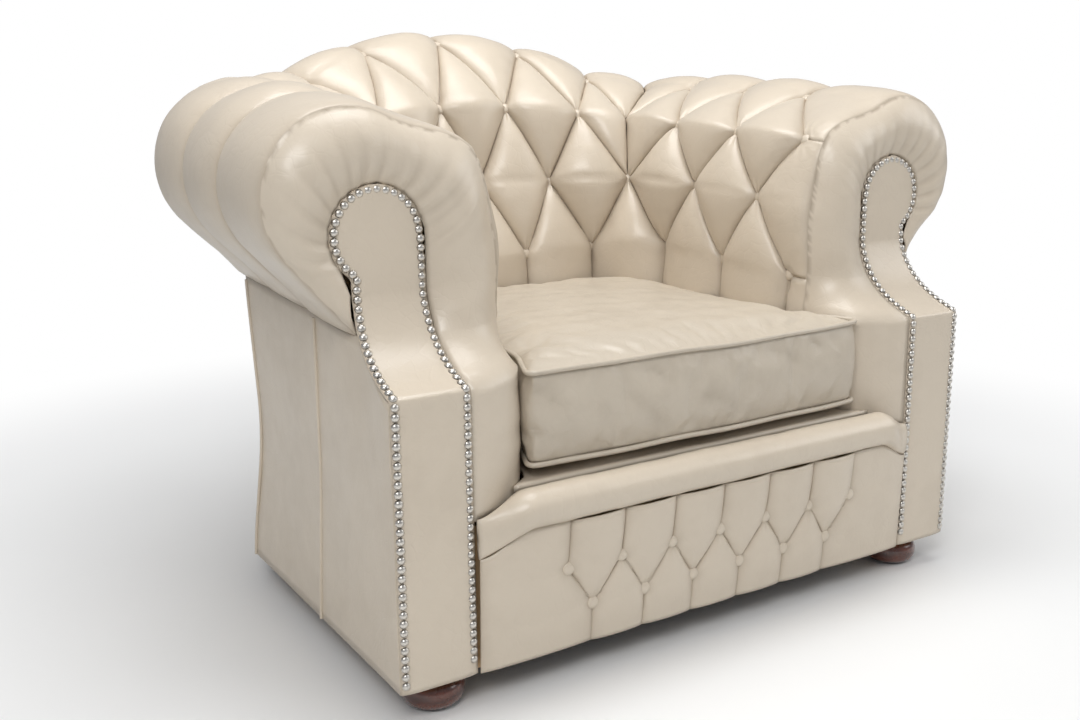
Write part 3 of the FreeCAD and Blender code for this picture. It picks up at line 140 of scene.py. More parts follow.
# %% Wires and finishes
def operator(kind, reflected=False):
    """The method of a wire that adds one Math node; reflected where the wire comes second."""
    def method(wire, other):
        first, second = (other, wire) if reflected else (wire, other)
        return wire.finish.node("ShaderNodeMath", {"operation": kind}, {0: first, 1: second})
    return method


class Wire:
    """One output in a material, that can be used in sums."""

    def __init__(self, finish, socket):
        self.finish = finish
        self.socket = socket

    __add__, __radd__ = operator("ADD"), operator("ADD", True)
    __sub__, __rsub__ = operator("SUBTRACT"), operator("SUBTRACT", True)
    __mul__, __rmul__ = operator("MULTIPLY"), operator("MULTIPLY", True)
    __pow__ = operator("POWER")


class Finish:
    """A material with its shader; sockets are set by name."""

    def __init__(self, name, **settings):
        self.material = bpy.data.materials.new(name)
        self.material.use_nodes = True
        self.tree = self.material.node_tree
        self.shader = self.tree.nodes["Principled BSDF"]
        self.place = self.node("ShaderNodeTexCoord", {}, {}, "Object")
        for socket, value in settings.items():
            self.put(self.shader.inputs[socket.replace("_", " ")], value)

    def put(self, socket, value):
        if isinstance(value, Wire):
            self.tree.links.new(value.socket, socket)
        elif isinstance(value, tuple) and len(value) == 3 and socket.type == "RGBA":
            socket.default_value = value + (1,)
        else:
            socket.default_value = value

    def node(self, kind, settings, sockets, output=0):
        made = self.tree.nodes.new(kind)
        for name, value in settings.items():
            setattr(made, name, value)
        for name, value in sockets.items():
            self.put(made.inputs[name], value)
        return Wire(self, made.outputs[output])

    def feed(self, socket, value):
        self.put(self.shader.inputs[socket], value)

    def noise(self, scale, detail=3.0):
        return self.node("ShaderNodeTexNoise", {}, {"Vector": self.place, "Scale": scale,
                                                    "Detail": detail})

    def wave(self, scale, bands="X", **more):
        return self.node("ShaderNodeTexWave", {"bands_direction": bands},
                         {"Vector": self.place, "Scale": scale, **more})

    def colour(self, share, first, second):
        mixed = self.node("ShaderNodeMix", {"data_type": "RGBA"}, {0: share, 6: first, 7: second}, 2)
        self.feed("Base Color", mixed)

    def bump(self, height, depth, strength, normal=None):
        sockets = {"Height": height, "Distance": depth, "Strength": strength}
        if normal is not None:
            sockets["Normal"] = normal
        return self.node("ShaderNodeBump", {}, sockets)


# %% [markdown]
# ## Leather
# Finished hide is smooth and slightly glossy. Three scales make it: a fine pebble grain, fine
# wrinkles where it has been stretched and pressed, and broad clouds where the dye is uneven. The
# meshes carry a value named `fold`, 1 in a pleat and 0 on the crown of a puff: the folds are painted
# a little darker, which is painted shade in the creases, and are duller, and the crowns are polished
# by use.


# %% Leather
def leather(name, light, deep, rough=0.36, wear=0.0):
    hide = Finish(name, IOR=1.48, Coat_Roughness=0.22)
    fold = hide.node("ShaderNodeAttribute", {"attribute_name": "fold"}, {}, "Fac")
    clouds = hide.noise(5.0, 4.0)
    spots = hide.noise(34.0, 5.0)
    cells = hide.node("ShaderNodeTexVoronoi", {"feature": "DISTANCE_TO_EDGE"},
                      {"Vector": hide.place, "Scale": 620.0})
    warped = hide.node("ShaderNodeMix", {"data_type": "VECTOR"},
                       {0: 0.05, 4: hide.place, 5: hide.noise(11.0, 2.0)}, 1)
    wrinkles = hide.node("ShaderNodeTexVoronoi", {"feature": "DISTANCE_TO_EDGE"},
                         {"Vector": warped, "Scale": 62.0})
    lines = hide.node("ShaderNodeMapRange", {}, {"Value": wrinkles, "From Min": 0.0,
                                                 "From Max": 0.1, "To Min": 0.0, "To Max": 1.0})
    # Painted shade: fold * 0.62 darkens the colour in pleats, round buttons and under edges; the
    # clouds and spots are the dye's own unevenness.
    shade = fold * 0.62 + (clouds - 0.5) * 0.5 + (spots - 0.5) * (0.25 + wear)
    hide.colour(shade, light, deep)
    hide.feed("Roughness", rough + fold * 0.14 + (spots - 0.5) * (0.14 + wear * 0.3)
              + (clouds - 0.5) * 0.1)
    hide.feed("Coat Weight", 0.22 - fold * 0.16)
    fine = hide.bump(cells, 0.00012, 0.5)
    folds = hide.bump(lines, 0.0003, 0.34 + wear * 0.4, fine)
    hide.feed("Normal", hide.bump(hide.noise(95.0, 4.0), 0.0007, 0.3, folds))
    return hide.material


COVER_LEATHER = leather("cover leather", (0.60, 0.52, 0.415), (0.33, 0.262, 0.19))
CUSHION_LEATHER = leather("cushion leather", (0.52, 0.455, 0.365), (0.31, 0.255, 0.19), 0.4, 0.3)

# %% [markdown]
# ## The net of buttons
# Deep buttoning starts with a net: rows of buttons sewn through the padding, with a pleat from each
# button to its neighbours. The rows follow the tub, from one arm round the back to the other, and
# each row lies at its own height and leans its own way. The same few numbers as in the frame place
# every button, so the leather lies where the solid padding lies.


# %% Rows and spots
class Spot:
    """A point of the padding, the way it faces, and the way out of the chair there."""

    def __init__(self, place, facing, outward=None):
        self.place = place
        self.facing = facing.normalized()
        self.outward = outward

    def flipped(self):
        return Spot(*[way and mirrored(way) for way in (self.place, self.facing, self.outward)])


def smooth(value):
    value = max(0.0, min(1.0, value))
    return value * value * (3 - 2 * value)


ARM_SLOPE, ARM_START = 0.055, 450  # the rows of the arms fall a little towards the front


class Row:
    """A row of buttons: distance back, bow, height, height at the arms, place at the arms, lean."""

    def __init__(self, back, bow, height, arm_height, side, lean):
        self.back, self.bow, self.height, self.arm_height = back, bow, height, arm_height
        self.side, self.lean = side, math.radians(lean)

    def spot(self, x, y, z, outward):
        facing = outward * math.cos(self.lean) + UP * math.sin(self.lean)
        return Spot(Vector((x, FACE + y, z)), facing, outward)

    def at_back(self, x):
        rise = 1 - smooth((abs(x) - 50) / 330)  # level in the middle, down to the arm's height
        outward = Vector((2 * self.bow * x / self.side ** 2, 1, 0)).normalized()
        return self.spot(x, self.back - self.bow * (x / self.side) ** 2,
                         self.arm_height + (self.height - self.arm_height) * rise, outward)

    def at_arm(self, back):
        height = self.arm_height - ARM_SLOPE * (ARM_START - back)
        return self.spot(self.side, back, height, Vector((1, 0, 0)))


TOP = Row(766, 143, 799, 711, 400, 118)
HIGH = Row(647, 84, 691, 661, 285, 152)
MID = Row(630, 110, 567, 572, 265, 168)
LOW = Row(583, 26, 448, 465, 263, 178)
T = [TOP.at_back(x) for x in (0, 150, 272, 366)] + [TOP.at_arm(y) for y in (549, 408, 267)]
A = [None] + [HIGH.at_back(x) for x in (63.5, 190.5, 268)] + [HIGH.at_arm(y) for y in (441, 294, 147)]
B = [MID.at_back(x) for x in (0, 127, 247)] + [MID.at_arm(y) for y in (367.5, 220.5)]
C = [None] + [LOW.at_back(x) for x in (63.5, 190.5)] + [LOW.at_arm(y) for y in (441, 294, 147)]
print("buttons in the right half:", len(T) + len(A) + len(B) + len(C) - 2)

# %% [markdown]
# ## Pleats and the lines that puffs hang between
# A pleat is a straight fold that the buttons pull in at both ends, so it rises a little in the
# middle. Over the roll the pleat becomes a seam-like crease that runs round to the neck.

# %% Pleats
PLEAT_STEPS, DOWN_STEPS = 20, 18
COVER_FOOT = 236.0


def between(first, last, share, lift=0.0):
    facing = first.facing.lerp(last.facing, share).normalized()
    return Spot(first.place.lerp(last.place, share) + facing * lift, facing)


def pleat(first, last, lift=8.0, steps=PLEAT_STEPS):
    line = []
    for k in range(steps + 1):
        share = k / steps
        line.append(between(first, last, share, lift * (4 * share * (1 - share)) ** 0.75))
    return line


def joined(*lines):
    """Lines end to end, without the doubled ends."""
    whole = list(lines[0])
    for line in lines[1:]:
        whole += line[1:]
    return whole


ROLL, NECK_DROP = 102, 155  # radius of the roll, and how far its neck lies under its middle
OVER_ANGLES = [118 - k * 4.5 for k in range(37)]


def over(tuft):
    """Over the roll from a top button, and down its outside to the neck."""
    radius = ROLL - 15 * tuft.outward.y ** 2  # a little smaller at the back than on the arms
    middle = tuft.place - tuft.facing * radius
    line = []
    for angle in OVER_ANGLES:
        turned = math.radians(angle)
        facing = tuft.outward * math.cos(turned) + UP * math.sin(turned)
        line.append(Spot(middle + facing * radius, facing))
    turned = math.radians(-12)
    low = tuft.outward * math.cos(turned) + UP * math.sin(turned)
    neck = Spot(middle - UP * (NECK_DROP * radius / ROLL), low)
    last = line[-1]
    for k in range(1, 9):
        share = k / 8
        bend = last.place.lerp(neck.place, share)
        way = last.facing.cross(last.facing.cross(UP)).normalized()
        bend += way * 14 * share * (1 - share) ** 2
        line.append(Spot(bend, last.facing.lerp(neck.facing, share)))
    return line


def down(tuft):
    """The straight pleat from a lowest button to the lower edge of the cover."""
    end = Spot(Vector((tuft.place.x, tuft.place.y, COVER_FOOT)), -tuft.outward)
    line = []
    for k in range(DOWN_STEPS + 1):
        share = k / DOWN_STEPS
        line.append(between(tuft, end, share, 7.0 * smooth(share * 3)))
    return line


# %% [markdown]
# ## A puff
# Between two pleats the leather swells like half of a cushion. Each row of points across a puff
# lies on half an ellipse: it leaves the pleat steeply and is flat on top, which gives the sharp
# valleys of deep buttoning. The class gathers all the puffs of one cover in one mesh, with the value
# `fold`, which paints shade into the leather's colour in the valleys.


# %% Skins
BROAD, NARROW = 0.012, 0.045  # scales of the two noises of unevenness, for millimetres
REACH, GATHERS = 75.0, 11     # the gathers round a button: how far it reaches, and how many


class Skin:
    """All the puffs of one cover."""

    def __init__(self):
        self.points = []
        self.fold = []
        self.facings = []
        self.faces = []

    def grid(self, rows, folds, facings):
        width = len(rows[0])
        base = len(self.points)
        for row, fold, facing in zip(rows, folds, facings):
            self.points += row
            self.fold += fold
            self.facings += facing
        for i in range(len(rows) - 1):
            for j in range(width - 1):
                a = base + i * width + j
                self.faces.append((a, a + 1, a + width + 1, a + width))

    def plain(self, rows, fold, facing):
        """A grid with one value of fold and one facing."""
        self.grid(rows, [[fold] * len(row) for row in rows], [[facing] * len(row) for row in rows])

    def puff(self, left, right, rise, full, steps=26):
        """A puff between two lines, with its whole height where they lie as far apart as `full`."""
        rows, folds, facings = [], [], []
        for i, (a, b) in enumerate(zip(left, right)):
            share = min(1.0, (b.place - a.place).length / full) ** 0.7
            height = rise(i / (len(left) - 1)) * share
            row, fold, ways = [], [], []
            for j in range(steps + 1):
                turned = math.pi * j / steps
                u = 0.5 - 0.5 * math.cos(turned)
                facing = a.facing.lerp(b.facing, u).normalized()
                swell = math.sin(turned)
                row.append(a.place.lerp(b.place, u) + facing * height * swell)
                # Painted shade: fold rises towards 1 at the pleats, so the leather's colour darkens
                # in the valleys.
                fold.append((1 - swell) ** 2.5 if height > 1 else 0.3)
                ways.append(facing)
            rows.append(row)
            folds.append(fold)
            facings.append(ways)
        self.grid(rows, folds, facings)

    def flip(self):
        """The same skin for the left side."""
        other = Skin()
        other.points = [mirrored(point) for point in self.points]
        other.facings = [mirrored(facing) for facing in self.facings]
        other.fold = list(self.fold)
        other.faces = [face[::-1] for face in self.faces]
        return other

    def piece(self, name, finish, centres, thickness=4.0, gather=1.8, uneven=1.0):
        """Welds the puffs, adds gathers round the buttons and unevenness, and gives it a back."""
        made = bmesh.new()
        shade = made.verts.layers.float.new("fold")
        out = made.verts.layers.float_vector.new("out")
        verts = []
        for point, fold, facing in zip(self.points, self.fold, self.facings):
            vert = made.verts.new(point)
            vert[shade] = fold
            vert[out] = facing
            verts.append(vert)
        for face in self.faces:
            made.faces.new([verts[k] for k in face])
        bmesh.ops.remove_doubles(made, verts=made.verts, dist=0.05)
        bmesh.ops.dissolve_degenerate(made, dist=0.02, edges=made.edges)
        bmesh.ops.recalc_face_normals(made, faces=made.faces)
        made.normal_update()
        if sum(face.normal.dot(face.verts[0][out]) for face in made.faces) < 0:
            bmesh.ops.reverse_faces(made, faces=made.faces)
            made.normal_update()
        tree = kdtree.KDTree(max(1, len(centres)))
        for k, spot in enumerate(centres):
            tree.insert(spot.place, k)
        tree.balance()
        moves = []
        for vert in made.verts:
            spot = vert.co
            soft = noise.noise(spot * BROAD) * 2.2 + noise.noise(spot * NARROW) * 0.55
            move = uneven * soft * (1 - vert[shade]) * (0 if vert.is_boundary else 1)
            if centres:
                place, index, distance = tree.find(spot)
                if distance < REACH:
                    facing = centres[index].facing
                    arm = spot - place
                    flat = arm - facing * arm.dot(facing)
                    axis = facing.cross(UP if abs(facing.z) < 0.8 else FORWARD).normalized()
                    turned = math.atan2(flat.dot(facing.cross(axis)), flat.dot(axis))
                    near = math.exp(-(distance / 26) ** 2) * smooth((distance - 5) / 12)
                    move += gather * near * math.sin(GATHERS * turned + index * 1.7)
                    # Painted shade: fold is raised round each button, so the leather's colour darkens
                    # in the dimple.
                    vert[shade] = max(vert[shade], math.exp(-(distance / 11) ** 2))
            moves.append(vert.normal * move)
        for vert, move in zip(made.verts, moves):
            vert.co += move
        made.verts.layers.float_vector.remove(out)
        for vert in made.verts:
            vert.co *= 0.001
        thing = object_of(name, made)
        thing.data.shade_smooth()
        thing.data.materials.append(finish)
        wall = thing.modifiers.new("wall", "SOLIDIFY")
        wall.thickness = thickness / 1000
        wall.offset = -1
        return thing

    def pair(self, name, centres, *settings):
        """The piece of the right arm, and its mirror image for the left arm."""
        return (self.piece(name + "_right", COVER_LEATHER, centres, *settings),
                self.flip().piece(name + "_left", COVER_LEATHER,
                                  [spot.flipped() for spot in centres], *settings))


def steady(value):
    return lambda share: value


def fading(*stops):
    """A rise that changes along a puff: pairs of place and height."""
    def rise(share):
        for (start, low), (end, high) in zip(stops, stops[1:]):
            if share <= end:
                return low + (high - low) * smooth((share - start) / (end - start))
        return stops[-1][1]
    return rise


# %% [markdown]
# ## Inside back
# The back is diamonds between four buttons, longer puffs that run down behind the cushion, and
# fans that start at the upper row and run over the crest. The far ends of the row of fans meet the
# arms in a pleat, so the seam between the covers is hidden, as an upholsterer does it.

# %% Cutting the back
FULL = 127.0
OVER_SHARE = PLEAT_STEPS / (PLEAT_STEPS + len(OVER_ANGLES) + 7)
OVER_RISE = fading((0, 30), (OVER_SHARE, 24), (OVER_SHARE + 0.2, 13), (0.85, 9), (1, 3))
LOW_SHARE = PLEAT_STEPS / (PLEAT_STEPS + DOWN_STEPS)
LOW_RISE = fading((0, 29), (LOW_SHARE, 26), (LOW_SHARE + 0.3, 13), (1, 10))


def diamond(skin, top, left, right, bottom, full):
    skin.puff(joined(pleat(top, left), pleat(left, bottom)),
              joined(pleat(top, right), pleat(right, bottom)), steady(30), full)


def fan(skin, tip, left, right, full):
    skin.puff(joined(pleat(tip, left), over(left)), joined(pleat(tip, right), over(right)),
              OVER_RISE, full)


def skirt(skin, tip, left, right, full):
    skin.puff(joined(pleat(tip, left), down(left)), joined(pleat(tip, right), down(right)),
              LOW_RISE, full)


def flip(thing):
    return thing.flipped()


back_skin = Skin()
diamond(back_skin, T[0], flip(A[1]), A[1], B[0], FULL)
skirt(back_skin, B[0], flip(C[1]), C[1], FULL)
for side in (lambda thing: thing, flip):
    t, a, b, c = ([side(item) if item else None for item in row] for row in (T, A, B, C))
    for tip, left, right in ((a[1], t[0], t[1]), (a[2], t[1], t[2]), (a[3], t[2], t[3])):
        fan(back_skin, tip, left, right, FULL)
    for corners in ((t[1], a[1], a[2], b[1]), (t[2], a[2], a[3], b[2]), (a[1], b[0], b[1], c[1]),
                    (a[2], b[1], b[2], c[2])):
        diamond(back_skin, *corners, FULL)
    skirt(back_skin, b[1], c[1], c[2], FULL)
    skirt(back_skin, b[2], c[2], c[3], FULL)
back_tufts = [T[0], B[0]] + T[1:4] + A[1:4] + B[1:3] + C[1:4]
back_tufts += [flip(tuft) for tuft in back_tufts[2:]]
inside_back = back_skin.piece("inside_back_leather", COVER_LEATHER, back_tufts)
print("inside back:", len(inside_back.data.polygons), "faces")

# %% [markdown]
# ## Inside arms
# An arm has the same net, laid straight. At its front the leather leaves the last buttons, crosses
# a soft fold and is drawn round to the edge of the facing. There it has to become shorter, so it is
# gathered in small pleats that spread from the head like the rays of a shell.

# %% The front of the arm
FOLD_BACK = 112.0
fold_t, fold_a, fold_b, fold_c = (row.at_arm(FOLD_BACK) for row in (TOP, HIGH, MID, LOW))


def bowed(first, last):
    """A line from spot to spot that leaves each one along the surface."""
    run = last.place - first.place
    ways = []
    for spot in (first, last):
        way = run - spot.facing * run.dot(spot.facing)
        ways.append(way.normalized() * run.length)
    line = []
    for k in range(PLEAT_STEPS + 1):
        t = k / PLEAT_STEPS
        place = (first.place * (2 * t ** 3 - 3 * t ** 2 + 1) + ways[0] * (t ** 3 - 2 * t ** 2 + t)
                 + last.place * (3 * t ** 2 - 2 * t ** 3) + ways[1] * (t ** 3 - t ** 2))
        line.append(Spot(place, first.facing.lerp(last.facing, t)))
    return line


KNEE, LEAN_HEIGHT, LEAN_DEPTH = 395.0, 100.0, 104.0
HEAD = Vector((420, 0, 561))
HEAD_RADIUS, COVER_RADIUS = 58.4, 58.0
INNER_EDGE, OUTER_EDGE = 359.6, 460.0
FOOT_LEVEL = 45.3


def facing_back(z):
    """How far the facing lies behind its foot at a height."""
    share = max(0.0, min(1.0, (z - KNEE) / LEAN_HEIGHT))
    return LEAN_DEPTH * (1 - (1 - share) ** (2.8 - 1.2 * share))


def rim(x, z):
    return Vector((x, FACE + facing_back(z) + 2.0, z))


def head(angle):
    turned = math.radians(angle)
    return rim(HEAD.x + COVER_RADIUS * math.cos(turned), HEAD.z + COVER_RADIUS * math.sin(turned))


def tabled(value, stops):
    """Reads between the entries of a table."""
    for (start, low), (end, high) in zip(stops, stops[1:]):
        if value <= end:
            return low + (high - low) * (value - start) / (end - start)
    return stops[-1][1]


HEAD_BY_ROLL = ((-44, -38), (-6, -8), (30, 22), (64, 52), (96, 82), (118, 100))
HEAD_TO_HIGH = ((0, 100), (0.12, 116), (0.5, 140), (0.88, 160))
roll_line = over(fold_t)
front_line = roll_line[::-1]
edge_line = [rim(455, 495).lerp(head(-38), k / 8) for k in range(8)]
edge_line += [head(tabled(angle, HEAD_BY_ROLL)) for angle in OVER_ANGLES[::-1]]
for start, end, stops in ((fold_t, fold_a, None),
                          (fold_a, fold_b, ((0, 566), (0.15, 545), (0.5, 520), (1, 490))),
                          (fold_b, fold_c, ((0, 490), (0.5, 462), (1, 445)))):
    front_line = joined(front_line, bowed(start, end))
    for k in range(1, PLEAT_STEPS + 1):
        share = k / PLEAT_STEPS
        if stops:
            edge_line.append(rim(INNER_EDGE, tabled(share, stops)))
        elif share < 0.88:
            edge_line.append(head(tabled(share, HEAD_TO_HIGH)))
        else:
            edge_line.append(head(160).lerp(rim(INNER_EDGE, 566), (share - 0.88) / 0.12))
foot_line = down(fold_c)
front_line = joined(front_line, foot_line)
edge_line += [rim(INNER_EDGE, tabled(k / DOWN_STEPS, ((0, 445), (0.22, 395), (1, 236))))
              for k in range(1, DOWN_STEPS + 1)]
print("points along the fold and the facing:", len(front_line), len(edge_line))


def front_turn(skin, steps):
    """From the fold round to the facing, with gathers that fade towards the fold."""
    rows, folds, facings = [], [], []
    walked = 0.0
    for k, (spot, edge) in enumerate(zip(front_line, edge_line)):
        if k:
            walked += (edge - edge_line[k - 1]).length
        run = edge - spot.place
        way = FORWARD + spot.facing * 0.7
        way = (way - run * (way.dot(run) / run.dot(run))).normalized()
        bend = spot.place.lerp(edge, 0.5) + way * run.length * 0.48
        round_head = smooth((k - 4) / 10) * (1 - smooth((k - len(roll_line) - PLEAT_STEPS) / 8))
        row, fold, ways = [], [], []
        for j in range(steps + 1):
            t = j / steps
            place = spot.place * (1 - t) ** 2 + bend * (2 * t * (1 - t)) + edge * t ** 2
            facing = spot.facing.lerp(FORWARD, t).normalized()
            ripple = math.sin(walked * 2 * math.pi / 17 + 0.6 * math.sin(walked * 0.05))
            depth = 2.6 * t ** 1.3 * (1 - smooth((t - 0.8) / 0.2) * 0.6) * round_head
            low = smooth((430 - edge.z) / 50) * math.sin(math.pi * t)
            crumple = math.sin(edge.z * 0.42 + 5 * noise.noise(place * 0.02)) * 0.8 * low
            row.append(place + facing * (ripple * depth + crumple))
            # Painted shade: fold follows the troughs of the gathers, darkening the colour there.
            fold.append(max(0.0, -ripple) * depth / 2.6 * 0.6)
            ways.append(facing)
        rows.append(row)
        folds.append(fold)
        facings.append(ways)
    skin.grid(rows, folds, facings)


# %% Cutting an arm
ARM_FULL = 147.0
arm_skin = Skin()
for tip, left, right in ((A[3], T[3], T[4]), (A[4], T[4], T[5]), (A[5], T[5], T[6])):
    fan(arm_skin, tip, left, right, ARM_FULL)
for corners in ((T[4], A[3], A[4], B[2]), (T[5], A[4], A[5], B[3]), (T[6], A[5], A[6], B[4]),
                (A[4], B[2], B[3], C[3]), (A[5], B[3], B[4], C[4])):
    diamond(arm_skin, *corners, ARM_FULL)
skirt(arm_skin, B[3], C[3], C[4], ARM_FULL)
skirt(arm_skin, B[4], C[4], C[5], ARM_FULL)
arm_skin.puff(joined(pleat(A[6], T[6]), over(T[6])), joined(bowed(fold_a, fold_t), roll_line),
              fading((0, 14), (0.3, 14), (0.6, 9), (1, 5)), ARM_FULL)
arm_skin.puff(joined(pleat(A[6], B[4]), pleat(B[4], C[5])),
              joined(bowed(fold_a, fold_b), bowed(fold_b, fold_c)),
              fading((0, 12), (0.5, 24), (1, 12)), ARM_FULL)
arm_skin.puff(down(C[5]), foot_line, steady(9), ARM_FULL)
front_turn(arm_skin, 20)
arm_tufts = T[3:] + A[3:] + B[2:] + C[3:]
right_arm, left_arm = arm_skin.pair("inside_arm_leather", arm_tufts)
print("inside arm:", len(right_arm.data.polygons), "faces")

# %% [markdown]
# ## Facings
# The front of each arm is closed by a flat panel. Its leather is drawn over card and a thin wad, so
# it swells a little between its edges and is held down along them by the nails. At the knee it
# breaks over a sharp timber edge, and from there it sweeps back and up to the round head.


# %% Facings
def facing_edges(z):
    """Inner and outer edge of the right facing at a height."""
    half = math.sqrt(max(0.0, HEAD_RADIUS ** 2 - (z - HEAD.z) ** 2))
    if z > HEAD.z:
        return HEAD.x - half, HEAD.x + half
    outer = OUTER_EDGE - 6 * smooth((z - KNEE) / LEAN_HEIGHT)
    return 360 + 3 * smooth((z - 510) / 50), max(outer, HEAD.x + half)


# The rows of points lie closer where the facing bends and round its head.
LEVELS = ([46 + k * 6 for k in range(58)] + [393 + k * 2.4 for k in range(45)]
          + [503 + k * 4 for k in range(15)]
          + [HEAD.z + HEAD_RADIUS * math.sin(math.radians(k * 4.5)) for k in range(20)])
FACING_STEPS = 24
facing_skin = Skin()
rows, folds, facings = [], [], []
for z in LEVELS:
    inner, outer = facing_edges(z)
    row, fold = [], []
    for k in range(FACING_STEPS + 1):
        u = k / FACING_STEPS
        swell = 1 - abs(2 * u - 1) ** 5
        x = inner + (outer - inner) * u
        cuts = 0.35 * math.sin(z * 0.21 + 3 * noise.noise(Vector((x, 0, z)) * 0.02))
        row.append(Vector((x, FACE + facing_back(z) + 1.8 - 3.6 * swell + cuts * (1 - swell), z)))
        # Painted shade: fold rises along the nailed edges of the facing, darkening the colour there.
        fold.append(0.55 * (1 - swell) ** 1.5)
    rows.append(row)
    folds.append(fold)
    facings.append([FORWARD] * len(row))
facing_skin.grid(rows, folds, facings)
right_facing, left_facing = facing_skin.pair("arm_facing_leather", [], 3.0, 0, 0.3)
print("facing:", len(right_facing.data.polygons), "faces")

# %% [markdown]
# ## Studs
# Nails and buttons are one small shape set many times along a line or a net. A node group does
# the setting: it takes the places, the head, the finish, how much the heads differ and a seed. Each
# place carries the way that the surface faces there, and the head stands square to it.


# %% The node group for studs
def make_studs_group():
    tree = bpy.data.node_groups.new("studs", "GeometryNodeTree")
    names = {}
    for name, kind in (("Places", "NodeSocketGeometry"), ("Head", "NodeSocketObject"),
                       ("Finish", "NodeSocketMaterial"), ("Spread", "NodeSocketFloat"),
                       ("Seed", "NodeSocketInt")):
        names[name] = tree.interface.new_socket(name, in_out="INPUT", socket_type=kind).identifier
    tree.interface.new_socket("Studs", in_out="OUTPUT", socket_type="NodeSocketGeometry")
    add, link = tree.nodes.new, tree.links.new
    start, end = add("NodeGroupInput"), add("NodeGroupOutput")
    head = add("GeometryNodeObjectInfo")
    link(start.outputs["Head"], head.inputs["Object"])
    facing = add("GeometryNodeInputNamedAttribute")
    facing.data_type = "FLOAT_VECTOR"
    facing.inputs["Name"].default_value = "facing"
    aim = add("FunctionNodeAlignRotationToVector")
    aim.axis = "Z"
    link(facing.outputs["Attribute"], aim.inputs["Vector"])
    limits = []
    for kind in ("SUBTRACT", "ADD"):
        limit = add("ShaderNodeMath")
        limit.operation = kind
        limit.inputs[0].default_value = 1
        link(start.outputs["Spread"], limit.inputs[1])
        limits.append(limit)
    vary = add("FunctionNodeRandomValue")
    vary.data_type = "FLOAT"
    link(limits[0].outputs[0], vary.inputs[2])
    link(limits[1].outputs[0], vary.inputs[3])
    link(start.outputs["Seed"], vary.inputs["Seed"])
    setting = add("GeometryNodeInstanceOnPoints")
    link(start.outputs["Places"], setting.inputs["Points"])
    link(head.outputs["Geometry"], setting.inputs["Instance"])
    link(aim.outputs["Rotation"], setting.inputs["Rotation"])
    link(vary.outputs[1], setting.inputs["Scale"])
    whole = add("GeometryNodeRealizeInstances")
    link(setting.outputs["Instances"], whole.inputs["Geometry"])
    finish = add("GeometryNodeSetMaterial")
    link(whole.outputs["Geometry"], finish.inputs["Geometry"])
    link(start.outputs["Finish"], finish.inputs["Material"])
    link(finish.outputs["Geometry"], end.inputs["Studs"])
    return tree, names


STUDS, STUD_INPUTS = make_studs_group()


def evaluated(thing):
    """A plain mesh of an object with its modifiers applied."""
    graph = bpy.context.evaluated_depsgraph_get()
    return bpy.data.meshes.new_from_object(thing.evaluated_get(graph), depsgraph=graph)


def studs(name, spots, head, finish, spread, seed):
    """One object of many heads, each on its spot and a little larger or smaller than the others."""
    places = bpy.data.meshes.new(name + "_places")
    places.from_pydata([spot.place / 1000 for spot in spots], [], [])
    ways = places.attributes.new("facing", "FLOAT_VECTOR", "POINT")
    for item, spot in zip(ways.data, spots):
        item.vector = spot.facing
    carrier = new_object(name + "_places", places)
    maker = carrier.modifiers.new("studs", "NODES")
    maker.node_group = STUDS
    for socket, value in (("Head", head), ("Finish", finish), ("Spread", spread), ("Seed", seed)):
        maker[STUD_INPUTS[socket]] = value
    mesh = evaluated(carrier)
    bpy.data.objects.remove(carrier)
    mesh.shade_smooth()
    return new_object(name, mesh)


def close(made, rings):
    """Joins rings of points by faces and closes both ends."""
    for low, high in zip(rings, rings[1:]):
        for k in range(len(low)):
            n = (k + 1) % len(low)
            made.faces.new((low[k], low[n], high[n], high[k]))
    made.faces.new(rings[0][::-1])
    made.faces.new(rings[-1])


def turn_shape(made, profile, sides, x=0.0, y=0.0):
    """Turns a profile of radii and heights, listed upwards, round an upright axis."""
    close(made, [[made.verts.new(((x + r * math.cos(math.tau * k / sides)) / 1000,
                                  (y + r * math.sin(math.tau * k / sides)) / 1000, z / 1000))
                  for k in range(sides)] for r, z in profile])


def turned_head(name, profile, sides):
    made = bmesh.new()
    turn_shape(made, profile, sides)
    return object_of(name, made)


# %% [markdown]
# ## Nails
# Domed nails with a dull nickel skin stand almost rim to rim, every 11 mm along the edge of the
# facing. An ambient occlusion node paints shade into the metal's colour, darker low on the dome and
# between the heads, and each nail is driven a little differently, so their highlights are not all
# alike.

# %% Nails
nickel = Finish("nail metal", Metallic=1.0)
# Painted shade: ambient occlusion darkens the nickel's colour wherever the leather or a neighbouring
# head is close.
occlusion_shade = nickel.node("ShaderNodeAmbientOcclusion", {"samples": 4}, {"Distance": 0.005}, "AO")
mottle = nickel.noise(260.0, 3.0)
nickel.colour(occlusion_shade ** 1.6 * (0.7 + mottle * 0.5), (0.10, 0.09, 0.08), (0.66, 0.63, 0.58))
nickel.feed("Roughness", 0.24 + mottle * 0.2)


